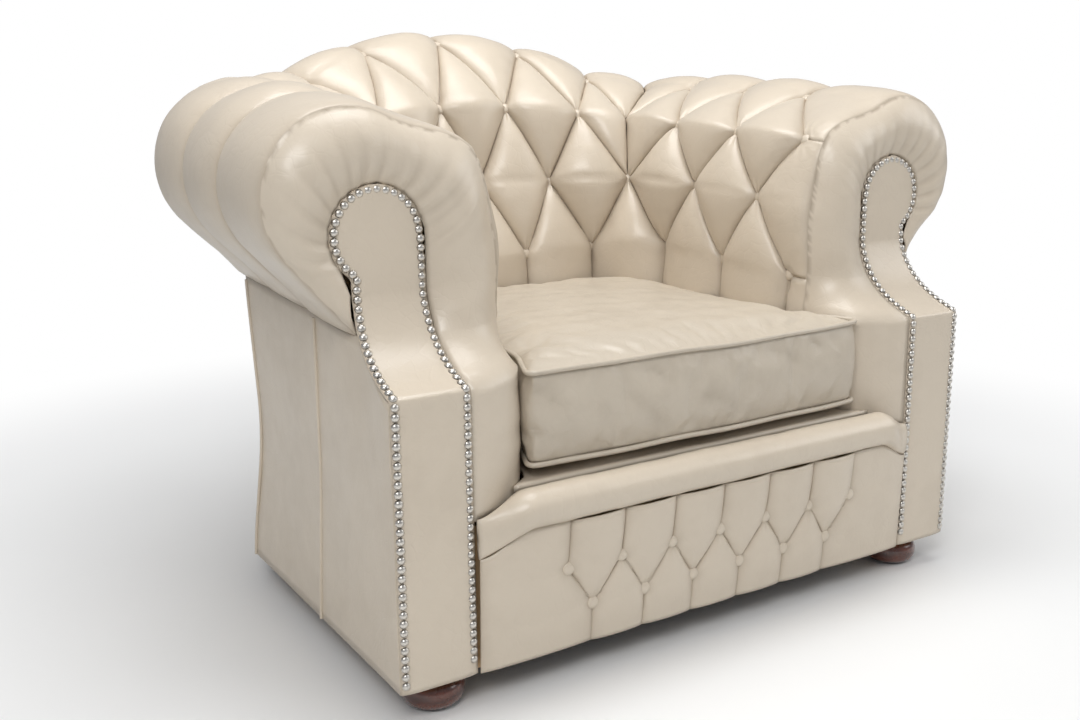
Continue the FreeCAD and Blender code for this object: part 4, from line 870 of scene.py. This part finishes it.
def nail_spots():
    """Spots along the right facing, from its outer foot over the head to its inner foot."""
    inset, pitch, inner_line = 6.0, 11.0, 366.0
    path = []
    for z in [57 + k * 3 for k in range(150)]:
        outer = facing_edges(z)[1] - inset
        if z > 505 and outer - HEAD.x > 36:
            break
        path.append((outer, z))
    first_turn = math.degrees(math.atan2(path[-1][1] - HEAD.z, path[-1][0] - HEAD.x))
    for k in range(1, 61):
        turned = math.radians(first_turn + (180 - first_turn) * k / 60)
        path.append((HEAD.x + (HEAD_RADIUS - inset) * math.cos(turned),
                     HEAD.z + (HEAD_RADIUS - inset) * math.sin(turned)))
    path += [(inner_line, 558 - k * 3) for k in range(168)]
    line = [Vector((x, FACE + facing_back(z) + 0.6, z)) for x, z in path]
    spots, left_over = [], 0.0
    for start, end in zip(line, line[1:]):
        run = end - start
        lean = Vector((0, -abs(run.z), abs(run.y))) if abs(run.y) > 0.05 else FORWARD
        along = left_over
        while along < run.length:
            spots.append(Spot(start + run * (along / run.length), lean))
            along += pitch
        left_over = along - run.length
    return spots


def scattered(spots, turn, seed):
    """The same spots, each nodding a little its own way."""
    chance = random.Random(seed)
    return [Spot(spot.place, spot.facing + Vector([chance.uniform(-turn, turn) for _ in range(3)]))
            for spot in spots]


NAIL_PROFILE = [(5.1, -0.8), (5.3, 0.3), (5.0, 1.5), (4.1, 2.7), (2.7, 3.6), (1.1, 4.1)]
nail_head = turned_head("nail_head", NAIL_PROFILE, 10)
nail_line = nail_spots()
right_nails, left_nails = [
    studs("facing_nail_heads" + side, scattered(spots, 0.05, seed), nail_head, nickel.material,
          0.03, seed)
    for side, spots, seed in (("_right", nail_line, 4), ("_left", [flip(s) for s in nail_line], 9))]
bpy.data.objects.remove(nail_head)
print("nails in a facing:", len(nail_line))

# %% [markdown]
# ## Covered buttons
# A button is a small dome covered in the same hide and pulled hard into the padding, so only its
# top shows between the puffs.

# %% Buttons
BUTTON_PROFILE = [(6.0, -1.5), (8.6, 1.0), (9.0, 3.0), (8.4, 4.8), (6.9, 6.3), (4.6, 7.3), (2.2, 7.8)]
button_head = turned_head("button_head", BUTTON_PROFILE, 16)


def buttons(name, spots, seed):
    """Buttons on their spots, each a millimetre deeper than the leather round it."""
    sunk = [Spot(spot.place - spot.facing * 1.0, spot.facing) for spot in spots]
    return studs(name, scattered(sunk, 0.08, seed), button_head, COVER_LEATHER, 0.04, seed)


half_back = T[1:3] + A[1:3] + B[1:3] + C[1:3]
back_buttons = buttons("back_button_heads",
                       [T[0], B[0]] + half_back + [flip(spot) for spot in half_back], 2)
arm_spots = T[4:] + A[4:] + B[3:] + C[4:]
right_buttons = buttons("arm_button_heads_right", arm_spots, 3)
left_buttons = buttons("arm_button_heads_left", [flip(spot) for spot in arm_spots], 5)

# %% [markdown]
# ## Front border
# The border under the seat has its own small net: seven buttons above, six below, straight pleats up
# to the lip and down to the foot, and diagonal pleats between the two rows.

# %% Border
PITCH = 79.65
UPPER_LEVEL, LOWER_LEVEL = 154.5, 98
LIP_FOOT, LIP_HALF, LIP_DIP = 219.5, 357.5, 28


def dip(x):
    """How far the lip falls at its ends, under the arms."""
    return LIP_DIP * smooth((abs(x) - 290) / 68)


def border_spot(x, proud, height):
    return Spot(Vector((x, FACE - proud, height)), FORWARD, FORWARD)


upper = [border_spot((k - 3) * PITCH, 8, UPPER_LEVEL) for k in range(7)]
lower = [border_spot((k - 2.5) * PITCH, 2, LOWER_LEVEL) for k in range(6)]


def to_top(tuft):
    return pleat(tuft, border_spot(tuft.place.x, 17, LIP_FOOT - dip(tuft.place.x)), 1.5, 10)


def to_foot(tuft):
    return pleat(tuft, border_spot(tuft.place.x, -1, FOOT_LEVEL), 1.5, 10)


def slant(first, last):
    """A slanting pleat between the two rows."""
    return pleat(first, last, 2, 14)


border_skin = Skin()
for k in range(6):
    border_skin.puff(joined(slant(lower[k], upper[k]), to_top(upper[k])),
                     joined(slant(lower[k], upper[k + 1]), to_top(upper[k + 1])),
                     steady(10.5), PITCH, 22)
for k in range(1, 6):
    border_skin.puff(joined(slant(upper[k], lower[k - 1]), to_foot(lower[k - 1])),
                     joined(slant(upper[k], lower[k]), to_foot(lower[k])),
                     fading((0, 10.5), (0.6, 10), (1, 5)), PITCH, 22)
end_top = 219 - dip(357)
for last_upper, last_lower, side in ((upper[6], lower[5], 1), (upper[0], lower[0], -1)):
    near = joined(to_top(last_upper)[::-1], slant(last_upper, last_lower), to_foot(last_lower))
    shares = [k / (len(near) - 1) for k in range(len(near))]
    far = [border_spot(side * LIP_HALF, 5 - 5 * share, end_top + (FOOT_LEVEL - end_top) * share)
           for share in shares]
    border_skin.puff(near, far, fading((0, 6), (0.5, 8), (1, 4)), PITCH, 26)
# Past the last buttons the puffs are stretched upright, so that their top follows the lip's dip.
for point in border_skin.points:
    past = max(0.0, abs(point.x) - 3 * PITCH)
    straight = LIP_FOOT - LIP_DIP * past / (LIP_HALF - 3 * PITCH)
    if past:
        stretch = (LIP_FOOT - dip(point.x) - FOOT_LEVEL) / (straight - FOOT_LEVEL)
        point.z = FOOT_LEVEL + (point.z - FOOT_LEVEL) * stretch
border = border_skin.piece("front_border_leather", COVER_LEATHER, upper + lower, 3.5, 0.8, 0.6)
border_buttons = buttons("border_button_heads", upper + lower, 6)
bpy.data.objects.remove(button_head)

# %% [markdown]
# ## Lip
# The lip is a long roll of wadding in leather that carries the front of the cushion. It is pulled
# down at both ends, where it disappears under the arms.

# %% Lip


def curved(stops, steps):
    """A smooth line through stops, with more points between them."""
    line = []
    for k in range(len(stops) - 1):
        before = stops[max(0, k - 1)]
        start, end = stops[k], stops[k + 1]
        after = stops[min(len(stops) - 1, k + 2)]
        for j in range(steps):
            t = j / steps
            line.append(0.5 * (2 * start + (end - before) * t
                               + (2 * before - 5 * start + 4 * end - after) * t ** 2
                               + (3 * start - before - 3 * end + after) * t ** 3))
    return line + [stops[-1].copy()]


LIP_TOP, LIP_ROWS = 266.5, 160
lip_skin = Skin()
rows, folds, facings = [], [], []
for i in range(LIP_ROWS + 1):
    x = -LIP_HALF + 2 * LIP_HALF * i / LIP_ROWS
    fall = dip(x)
    proud = 33.5 - 24 * smooth((abs(x) - 296) / 62)
    foot, top = LIP_FOOT - fall, LIP_TOP - fall
    rear = FACE + 6 - 6.5 * smooth((abs(x) - 298) / 45)
    stops = [(rear, foot + 3), (FACE - proud * 0.45, foot - 0.5), (FACE - proud * 0.84, foot + 6),
             (FACE - proud, foot + 20), (FACE - proud * 0.94, foot + 34),
             (FACE - proud * 0.62, top - 3), (FACE - proud * 0.2, top), (rear, top - 5)]
    line = curved([Vector((x, y, z)) for y, z in stops], 5)
    middle = Vector((x, (rear + FACE - proud) / 2, (foot + top) / 2))
    rows.append(line)
    # Painted shade: fold darkens the first points of each row, along the lip's underside and the
    # bottom of its nose.
    folds.append([0.6 * (1 - smooth(j / 9)) for j in range(len(line))])
    facings.append([(point - middle).normalized() for point in line])
for end, middle in ((0, Vector((-LIP_HALF, FACE, 215))), (-1, Vector((LIP_HALF, FACE, 215)))):
    for share in (0.5, 0.97):
        closing = [point.lerp(middle, share) for point in rows[end]]
        where = 0 if end == 0 else len(rows)
        rows.insert(where, closing)
        folds.insert(where, folds[end])
        facings.insert(where, facings[end])
lip_skin.grid(rows, folds, facings)
lip = lip_skin.piece("front_lip_leather", COVER_LEATHER, [], 3.0, 0, 0.9)

# %% [markdown]
# ## Outside panels
# The outside is plain: one hide from the facing to the rear corner on each side, and one round the
# back, drawn in a little above the rails. Their seams are piped.

# %% Outside panels
NECK_X = over(TOP.at_arm(0))[-1].place.x
SEAM_BACK = 512.0
BOTTOM, WAIST_LEVEL = 45, 235


def eased(z, top, foot, waist, neck):
    """Foot, waist and neck of a panel joined by two straight lines, with the corner evened out."""
    total = foot * 0
    for k in range(-3, 4):
        level = min(top, max(BOTTOM, z + k * 16))
        if level < WAIST_LEVEL:
            total += foot + (waist - foot) * ((level - BOTTOM) / (WAIST_LEVEL - BOTTOM))
        else:
            total += waist + (neck - waist) * ((level - WAIST_LEVEL) / max(1, top - WAIST_LEVEL))
    return total / 7


def side_x(back, z, top):
    """Place of the outside of the arm, from the middle of the chair."""
    share = smooth(back / SEAM_BACK)
    neck = OUTER_EDGE + (NECK_X - OUTER_EDGE) * smooth(back / LEAN_DEPTH)
    return eased(z, top, OUTER_EDGE + 3 * share, OUTER_EDGE - 22 * share, neck)


def side_top(back):
    """Height of the panel's upper edge: along the leaning facing first, then under the roll."""
    neck = over(TOP.at_arm(back))[-1].place.z - 0.5
    height = KNEE - 4
    while facing_back(height + 4) < back - 6 and height < neck:
        height += 1
    return min(height, neck)


def side_row(back, steps=30):
    top = side_top(back)
    levels = [FOOT_LEVEL + (top - FOOT_LEVEL) * k / steps for k in range(steps + 1)]
    return [Vector((side_x(back, z, top), FACE + back, z)) for z in levels]


side_skin = Skin()
backs = [4.3 + 2.5 * k for k in range(42)] + [110 + k * 10.05 for k in range(41)]
rows = [side_row(back) for back in backs]
side_skin.plain(rows, 0.1, Vector((1, 0, 0)))
right_side, left_side = side_skin.pair("outside_arm_leather", [], 4.0, 0, 0.7)

arc_radius = (463 ** 2 + 280 ** 2) / (2 * 280)
arc_middle = Vector((0, FACE + 792 - arc_radius, 0))
corner = [point + Vector((0, 0.3, 0)) for point in side_row(SEAM_BACK)]
corner_way = Vector((1, 0.3, 0)).normalized()
back_rows, back_ways = [corner], [[corner_way] * len(corner)]
for step in range(61):
    x = 366 * (1 - step / 30)
    neck = over(TOP.at_back(abs(x)))[-1].place.copy()
    neck.x = math.copysign(neck.x, x) if x else 0.0
    way = Vector((neck.x, neck.y - arc_middle.y, 0)).normalized()
    row = []
    for k in range(31):
        z = FOOT_LEVEL + (neck.z - 0.5 - FOOT_LEVEL) * k / 30
        place = eased(z, neck.z, arc_middle + way * arc_radius,
                      arc_middle + way * (arc_radius - 25), neck)
        row.append(Vector((place.x, place.y, z)))
    back_rows.append(row)
    back_ways.append([way] * len(row))
back_rows.append([mirrored(point) for point in corner])
back_ways.append([mirrored(corner_way)] * len(corner))
outer_skin = Skin()
outer_skin.grid(back_rows, [[0.1] * len(row) for row in back_rows], back_ways)
outside_back = outer_skin.piece("outside_back_leather", COVER_LEATHER, [], 4.0, 0, 0.7)


def tube(name, lines, radius, finish, cyclic=False):
    """Piping: round cords of leather through lines of points in millimetres."""
    curve = bpy.data.curves.new(name, "CURVE")
    curve.dimensions = "3D"
    curve.bevel_depth = radius / 1000
    curve.bevel_resolution = 4
    curve.use_fill_caps = True
    for line in lines:
        spline = curve.splines.new("POLY")
        spline.points.add(len(line) - 1)
        for point, place in zip(spline.points, line):
            point.co = (*(place / 1000), 1)
        spline.use_cyclic_u = cyclic
        spline.use_smooth = True
    curve.materials.append(finish)
    return new_object(name, curve)


seams = []
for back in (245.0, SEAM_BACK - 4):
    line = [point + Vector((0.6, 0, 0)) for point in side_row(back, 60)[:-1]]
    seams += [line, [mirrored(point) for point in line]]
seam_piping = tube("outside_seam_piping_leather", seams, 2.6, COVER_LEATHER)

# %% [markdown]
# ## Seat platform
# Under the cushion lies a flat platform of foam under lining cloth, a little fuller in its middle.
# It shows when the cushion is drawn out. A strip of the hide is sewn along its front, where the
# gap over the lip lets one look in.

# %% Lining and platform
lining = Finish("lining cloth", Roughness=0.88)
weave = lining.wave(330.0) * lining.wave(330.0, "Y")
lining.colour(weave * 0.5 + lining.noise(30.0) * 0.5, (0.02, 0.018, 0.017), (0.07, 0.062, 0.055))
lining.feed("Normal", lining.bump(weave, 0.0003, 0.5))
deck_skin = Skin()
DECK_EDGE = ((16, 298), (38, 270), (64, 257), (117, 243), (452, 243), (538, 173))
DECK_LEVEL, DECK_FULLNESS, DECK_ROWS = 263.2, 3.4, 65
STRIP_BACK = 118
rows = []
for k in range(DECK_ROWS + 1):
    back = 16 + 522 * k / DECK_ROWS
    half = tabled(back, DECK_EDGE)
    fullness = [DECK_FULLNESS * (1 - abs(2 * j / 60 - 1) ** 4) * smooth(k / 6)
                * smooth((DECK_ROWS - k) / 6) for j in range(61)]
    rows.append([Vector((half * (2 * j / 60 - 1), FACE + back, DECK_LEVEL + fullness[j]))
                 for j in range(61)])
deck_skin.plain(rows, 0.0, UP)
platform = deck_skin.piece("seat_platform", lining.material, [], 8.0, 0, 0.4)
platform.data.materials.append(COVER_LEATHER)
for face in platform.data.polygons:
    face.material_index = int(face.center.y * 1000 - FACE < STRIP_BACK)

under_mesh = bpy.data.meshes.new("underside_cloth")
under_rows = [[(-0.33 + 0.66 * j / 30, (FACE + 22) / 1000 + 0.512 * k / 24,
                0.0445 - 0.0012 * math.sin(math.pi * j / 30) * math.sin(math.pi * k / 24))
               for j in range(31)] for k in range(25)]
under_mesh.from_pydata([point for row in under_rows for point in row], [],
                       [(k * 31 + j, (k + 1) * 31 + j, (k + 1) * 31 + j + 1, k * 31 + j + 1)
                        for k in range(24) for j in range(30)])
under_mesh.shade_smooth()
under_mesh.materials.append(lining.material)
underside = new_object("underside_cloth", under_mesh)

# %% [markdown]
# ## Seat cushion
# The cushion is a leather case: a top, a bottom and a band between two piped seams. A blown-up mesh
# of it would be too even, so the case is cut a little larger than its core and let settle as cloth
# under a light pressure, with its seams held. The slack shows as the creases along the band.

# %% The case before it settles
SEAM_LOW, SEAM_HIGH = 283.0, 396.0


def rounded(corners, radius, step):
    """A closed line through corners, each rounded by an arc, with even steps."""
    line = []
    count = len(corners)
    for k, corner in enumerate(corners):
        before, after = corners[k - 1], corners[(k + 1) % count]
        r = min(radius, (before - corner).length * 0.45, (after - corner).length * 0.45)
        start = corner + (before - corner).normalized() * r
        end = corner + (after - corner).normalized() * r
        line += [start * (1 - t) ** 2 + corner * 2 * t * (1 - t) + end * t * t
                 for t in (0, 0.2, 0.4, 0.6, 0.8, 1)]
    whole = sum((b - a).length for a, b in zip(line, line[1:] + line[:1]))
    pitch = whole / round(whole / step)
    even, left_over = [], 0.0
    for a, b in zip(line, line[1:] + line[:1]):
        run = b - a
        along = left_over
        while along < run.length - 1e-6:
            even.append(a + run * (along / run.length))
            along += pitch
        left_over = along - run.length
    return even


half_plan = [(274, 20), (258, 56), (233.5, 110), (233.5, 446), (163, 531), (0, 537)]
plan = [Vector((x, y, 0)) for x, y in half_plan] + [Vector((-x, y, 0)) for x, y in half_plan[-2::-1]]
plan.append(Vector((0, 10, 0)))
outline = rounded(plan, 26, 6.0)


def cushion_place(point, share, z, swell):
    """A point of the outline, drawn towards the middle of the cushion or swollen out."""
    middle = Vector((0, 275, 0))
    flat = middle + (point - middle) * share
    flat += (point - middle).normalized() * swell
    return Vector((flat.x, FACE + flat.y, z))


case = bmesh.new()
rings = []
layers = [(0.02, 272, 0), (0.3, 271.5, 0), (0.6, 271, 0), (0.85, 272, 0), (0.95, 276, 0),
          (1, SEAM_LOW, 0)]
layers += [(1, SEAM_LOW + 113 * k / 12, 6.0 * math.sin(math.pi * k / 12)) for k in range(1, 12)]
layers += [(1, SEAM_HIGH, 0), (0.95, 401, 0), (0.85, 405, 0), (0.6, 409, 0), (0.3, 411, 0),
           (0.02, 412, 0)]
for share, z, swell in layers:
    rings.append([case.verts.new(cushion_place(point, share, z, swell) / 1000) for point in outline])
close(case, rings)
bmesh.ops.recalc_face_normals(case, faces=case.faces)
cushion = object_of("cushion_case_leather", case)
remesh = cushion.modifiers.new("even", "REMESH")
remesh.mode = "VOXEL"
remesh.voxel_size = 0.0065
cushion.data = evaluated(cushion)
cushion.modifiers.clear()
print("cushion before settling:", len(cushion.data.vertices), "points")

# %% [markdown]
# The seams are held by a weight of their own, the rest is free. Gravity is left out, because the
# core carries the case everywhere; the pressure stands in for the core.

# %% Settling
rest = [vert.co.copy() for vert in cushion.data.vertices]


def seam_hold(place):
    """1 on a seam, 0 away from it."""
    z = place.z * 1000
    near = min(abs(z - SEAM_LOW), abs(z - SEAM_HIGH))
    edge = min((Vector((place.x * 1000, place.y * 1000 - FACE, 0)) - point).length
               for point in outline[::3])
    return (1 - smooth((near - 1.5) / 5)) * (1 - smooth((edge - 12) / 8))


hold = cushion.vertex_groups.new(name="seams")
for k, place in enumerate(rest):
    z = place.z * 1000
    if min(abs(z - SEAM_LOW), abs(z - SEAM_HIGH)) < 7:
        hold.add([k], seam_hold(place), "REPLACE")
    if z < 276:
        hold.add([k], 0.6, "REPLACE")
settle = cushion.modifiers.new("settle", "CLOTH")
cloth = settle.settings
cloth.vertex_group_mass = "seams"
cloth.quality = 6
cloth.mass = 0.4
cloth.tension_stiffness = 18
cloth.compression_stiffness = 18
cloth.shear_stiffness = 6
cloth.bending_stiffness = 0.6
cloth.shrink_min = -0.02
cloth.shrink_max = -0.02
cloth.use_pressure = True
cloth.uniform_pressure_force = 3.0
cloth.effector_weights.gravity = 0
settle.point_cache.frame_end = 24
for number in range(1, 25):
    bpy.context.scene.frame_set(number)
settled = evaluated(cushion)
cushion.modifiers.clear()
cushion.data = settled
bpy.context.scene.frame_set(1)
most = 0.0
for vert, start in zip(cushion.data.vertices, rest):
    move = vert.co - start
    limit = 0.009 if start.z > 0.279 else 0.002
    most = max(most, move.length)
    if move.length > limit:
        vert.co = start + move.normalized() * limit * (1 + 0.15 * (1 - limit / move.length))
print("largest movement of the case: %.4f m" % most)

# %% [markdown]
# Where people sit the leather has stretched, so the top carries shallow hollows, and long creases
# run slantwise down the front band. The creases and the sides beside the seams also get the value
# `fold`, which paints shade into the colour there.

# %% Wear of the cushion
shade = cushion.data.attributes.new("fold", "FLOAT", "POINT")
for vert, mark in zip(cushion.data.vertices, shade.data):
    spot = vert.co * 1000
    side = 1 - abs(vert.normal.z)
    band = smooth((spot.z - 288) / 16) * smooth((392 - spot.z) / 16) * side
    slant = spot.x * 0.62 + spot.z * 1.1 + spot.y * 0.35
    bend = noise.noise(spot * 0.011) * 26
    crease = abs(math.sin((slant + bend) * 0.058)) ** 0.45
    patch = smooth(noise.noise(spot * 0.014 + Vector((7, 3, 1))) * 2.2 + 0.45)
    vert.co -= vert.normal * (1 - crease) * patch * band * 0.0042
    top = smooth((spot.z - 398) / 6)
    ripple = noise.noise(Vector((spot.x * 0.012, spot.y * 0.03, 2))) + 0.5 * noise.noise(spot * 0.04)
    vert.co.z += top * ripple * 0.0022
    # Painted shade: the fold value darkens the colour in the band's creases and beside both piped
    # seams.
    mark.value = max(0.0, min(1.0, (1 - crease) * patch * band * 0.8
                              + 0.5 * (1 - smooth(min(abs(spot.z - SEAM_LOW),
                                                      abs(spot.z - SEAM_HIGH)) / 7)) * side))
finer = cushion.modifiers.new("finer", "SUBSURF")
finer.levels = finer.render_levels = 1
cushion.data.shade_smooth()
cushion.data.materials.clear()
cushion.data.materials.append(CUSHION_LEATHER)


def seam_line(z):
    """The piping's line round the cushion, not quite level, as a sewn edge is."""
    line = []
    for k, point in enumerate(outline):
        turned = math.tau * k / len(outline)
        wave = 0.9 * math.sin(5 * turned + z) + 0.6 * math.sin(11 * turned)
        line.append(cushion_place(point, 1, z + wave, 2.6))
    return line


upper_piping = tube("cushion_upper_piping_leather", [seam_line(SEAM_HIGH + 0.5)], 3.4,
                    CUSHION_LEATHER, True)
lower_piping = tube("cushion_lower_piping_leather", [seam_line(SEAM_LOW - 0.5)], 3.4,
                    CUSHION_LEATHER, True)

# %% [markdown]
# ## Feet
# The feet are turned buns: a flat foot, a full belly, a narrow quirk and a short neck, in a dark red
# brown polish. They are turned here the same way, as a profile run round an axis.

# %% Feet
polish = Finish("foot polish", Coat_Weight=0.7, Coat_Roughness=0.08, IOR=1.5)
grain = polish.wave(18.0, "Z", Distortion=7.0, Detail=3.0)
polish.colour(grain * 0.6 + polish.noise(40.0) * 0.3, (0.05, 0.013, 0.008), (0.13, 0.035, 0.018))
polish.feed("Roughness", 0.22 + polish.noise(60.0) * 0.12)
BELLY = [(22, 2), (27, 3), (33, 6), (37, 11), (38.8, 17), (39, 22), (38, 28), (35, 33), (30, 37),
         (27.5, 38.5), (26.5, 39.5), (27.5, 40.5), (28, 42), (27.5, 44.7)]
profile = [(p.x, p.z) for p in curved([Vector((r, 0, z)) for r, z in BELLY], 3)]
made = bmesh.new()
for x, y in ((398, 48), (383.7, 487)):
    for side in (1, -1):
        turn_shape(made, profile, 56, side * x, FACE + y)
feet = object_of("bun_feet_turned", made)
feet.data.shade_smooth()
feet.data.materials.append(polish.material)

# %% [markdown]
# ## Everything else
# The timbers, the webbing, the clips, the bolts and the glides keep the shapes of the frame. Each
# takes a finish by the name of its slot. The floor gives way to white light farther out, so that
# no horizon shows.

# %% Plain finishes
beech = Finish("beech", Roughness=0.55)
beech.colour(beech.wave(9.0, Distortion=5.0, Detail=3.0), (0.52, 0.34, 0.18), (0.66, 0.47, 0.28))
foam = Finish("foam", Roughness=0.95)
foam.colour(foam.noise(500.0), (0.80, 0.74, 0.55), (0.66, 0.60, 0.42))
web = Finish("webbing", Roughness=0.85)
web.colour(web.wave(60.0), (0.20, 0.14, 0.08), (0.34, 0.26, 0.16))
zinc = Finish("zinc", Metallic=1.0)
zinc.colour(zinc.noise(140.0), (0.52, 0.52, 0.54), (0.36, 0.36, 0.38))
zinc.feed("Roughness", 0.32 + zinc.noise(90.0) * 0.2)
nylon = Finish("nylon", Roughness=0.5)
nylon.colour(nylon.noise(200.0), (0.02, 0.02, 0.02), (0.05, 0.05, 0.05))
tape = Finish("zip tape", Roughness=0.8)
tape.colour(tape.wave(160.0), (0.40, 0.34, 0.26), (0.24, 0.20, 0.15))
BY_SLOT = {"frame_wood": beech, "foam": foam, "webbing": web, "steel": zinc, "glide": nylon,
           "zip": tape, "lining": lining, "nails": nickel, "foot_wood": polish}
for part in frame["record"]["subparts"]:
    finish = BY_SLOT.get(part["material_slot"])
    material = finish.material if finish else COVER_LEATHER
    for place in frame["nodes"][part["node"]].material_slots:
        place.material = material

floor_finish = Finish("floor", Roughness=0.6)
far = floor_finish.node("ShaderNodeVectorMath", {"operation": "LENGTH"}, {0: floor_finish.place},
                        "Value")
floor_finish.colour(floor_finish.noise(2.0), (0.80, 0.80, 0.79), (0.84, 0.84, 0.83))
ray = floor_finish.node("ShaderNodeLightPath", {}, {}, "Is Camera Ray")
edge = floor_finish.node("ShaderNodeMapRange", {"interpolation_type": "SMOOTHSTEP"},
                         {"Value": far, "From Min": 0.75, "From Max": 1.7})
glow = floor_finish.tree.nodes.new("ShaderNodeEmission")
glow.inputs["Color"].default_value = (1, 1, 1, 1)
mixed = floor_finish.tree.nodes.new("ShaderNodeMixShader")
floor_finish.put(mixed.inputs[0], ray * edge)
floor_finish.tree.links.new(floor_finish.shader.outputs[0], mixed.inputs[1])
floor_finish.tree.links.new(glow.outputs[0], mixed.inputs[2])
floor_finish.tree.links.new(mixed.outputs[0],
                            floor_finish.tree.nodes["Material Output"].inputs["Surface"])
floor.data.materials.append(floor_finish.material)

# %% [markdown]
# ## Handing over
# Every piece rides on a body of the frame and takes over from the solid that it dresses.

# %% Riding and replacing
CHAIR = ((inside_back, "leather", "inside_back_cover", "back_foam"),
         (right_arm, "leather", "inside_arm_cover_right", "arm_foam_right"),
         (left_arm, "leather", "inside_arm_cover_left", "arm_foam_left"),
         (right_facing, "leather", "arm_facing_right"), (left_facing, "leather", "arm_facing_left"),
         (right_nails, "nails", "facing_nails_right"), (left_nails, "nails", "facing_nails_left"),
         (back_buttons, "leather", "back_buttons"), (right_buttons, "leather", "arm_buttons_right"),
         (left_buttons, "leather", "arm_buttons_left"), (border, "leather", "front_border"),
         (border_buttons, "leather", "border_buttons"), (lip, "leather", "front_lip"),
         (right_side, "leather", "outside_arm_panel_right"),
         (left_side, "leather", "outside_arm_panel_left"),
         (outside_back, "leather", "outside_back_panel"),
         (seam_piping, "leather", "outside_seam_piping"),
         (platform, "lining", "platform_cloth", "platform_foam"),
         (underside, "lining", "bottom_cloth"), (feet, "foot_wood", "bun_feet"))
CUSHION = ((cushion, "cushion_leather", "cushion_case", "cushion_core"),
           (upper_piping, "cushion_leather", "cushion_upper_piping"),
           (lower_piping, "cushion_leather", "cushion_lower_piping"))
for body, listed in (("chair", CHAIR), ("cushion", CUSHION)):
    for piece, slot, *nodes in listed:
        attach(piece, body)
        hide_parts(*nodes)
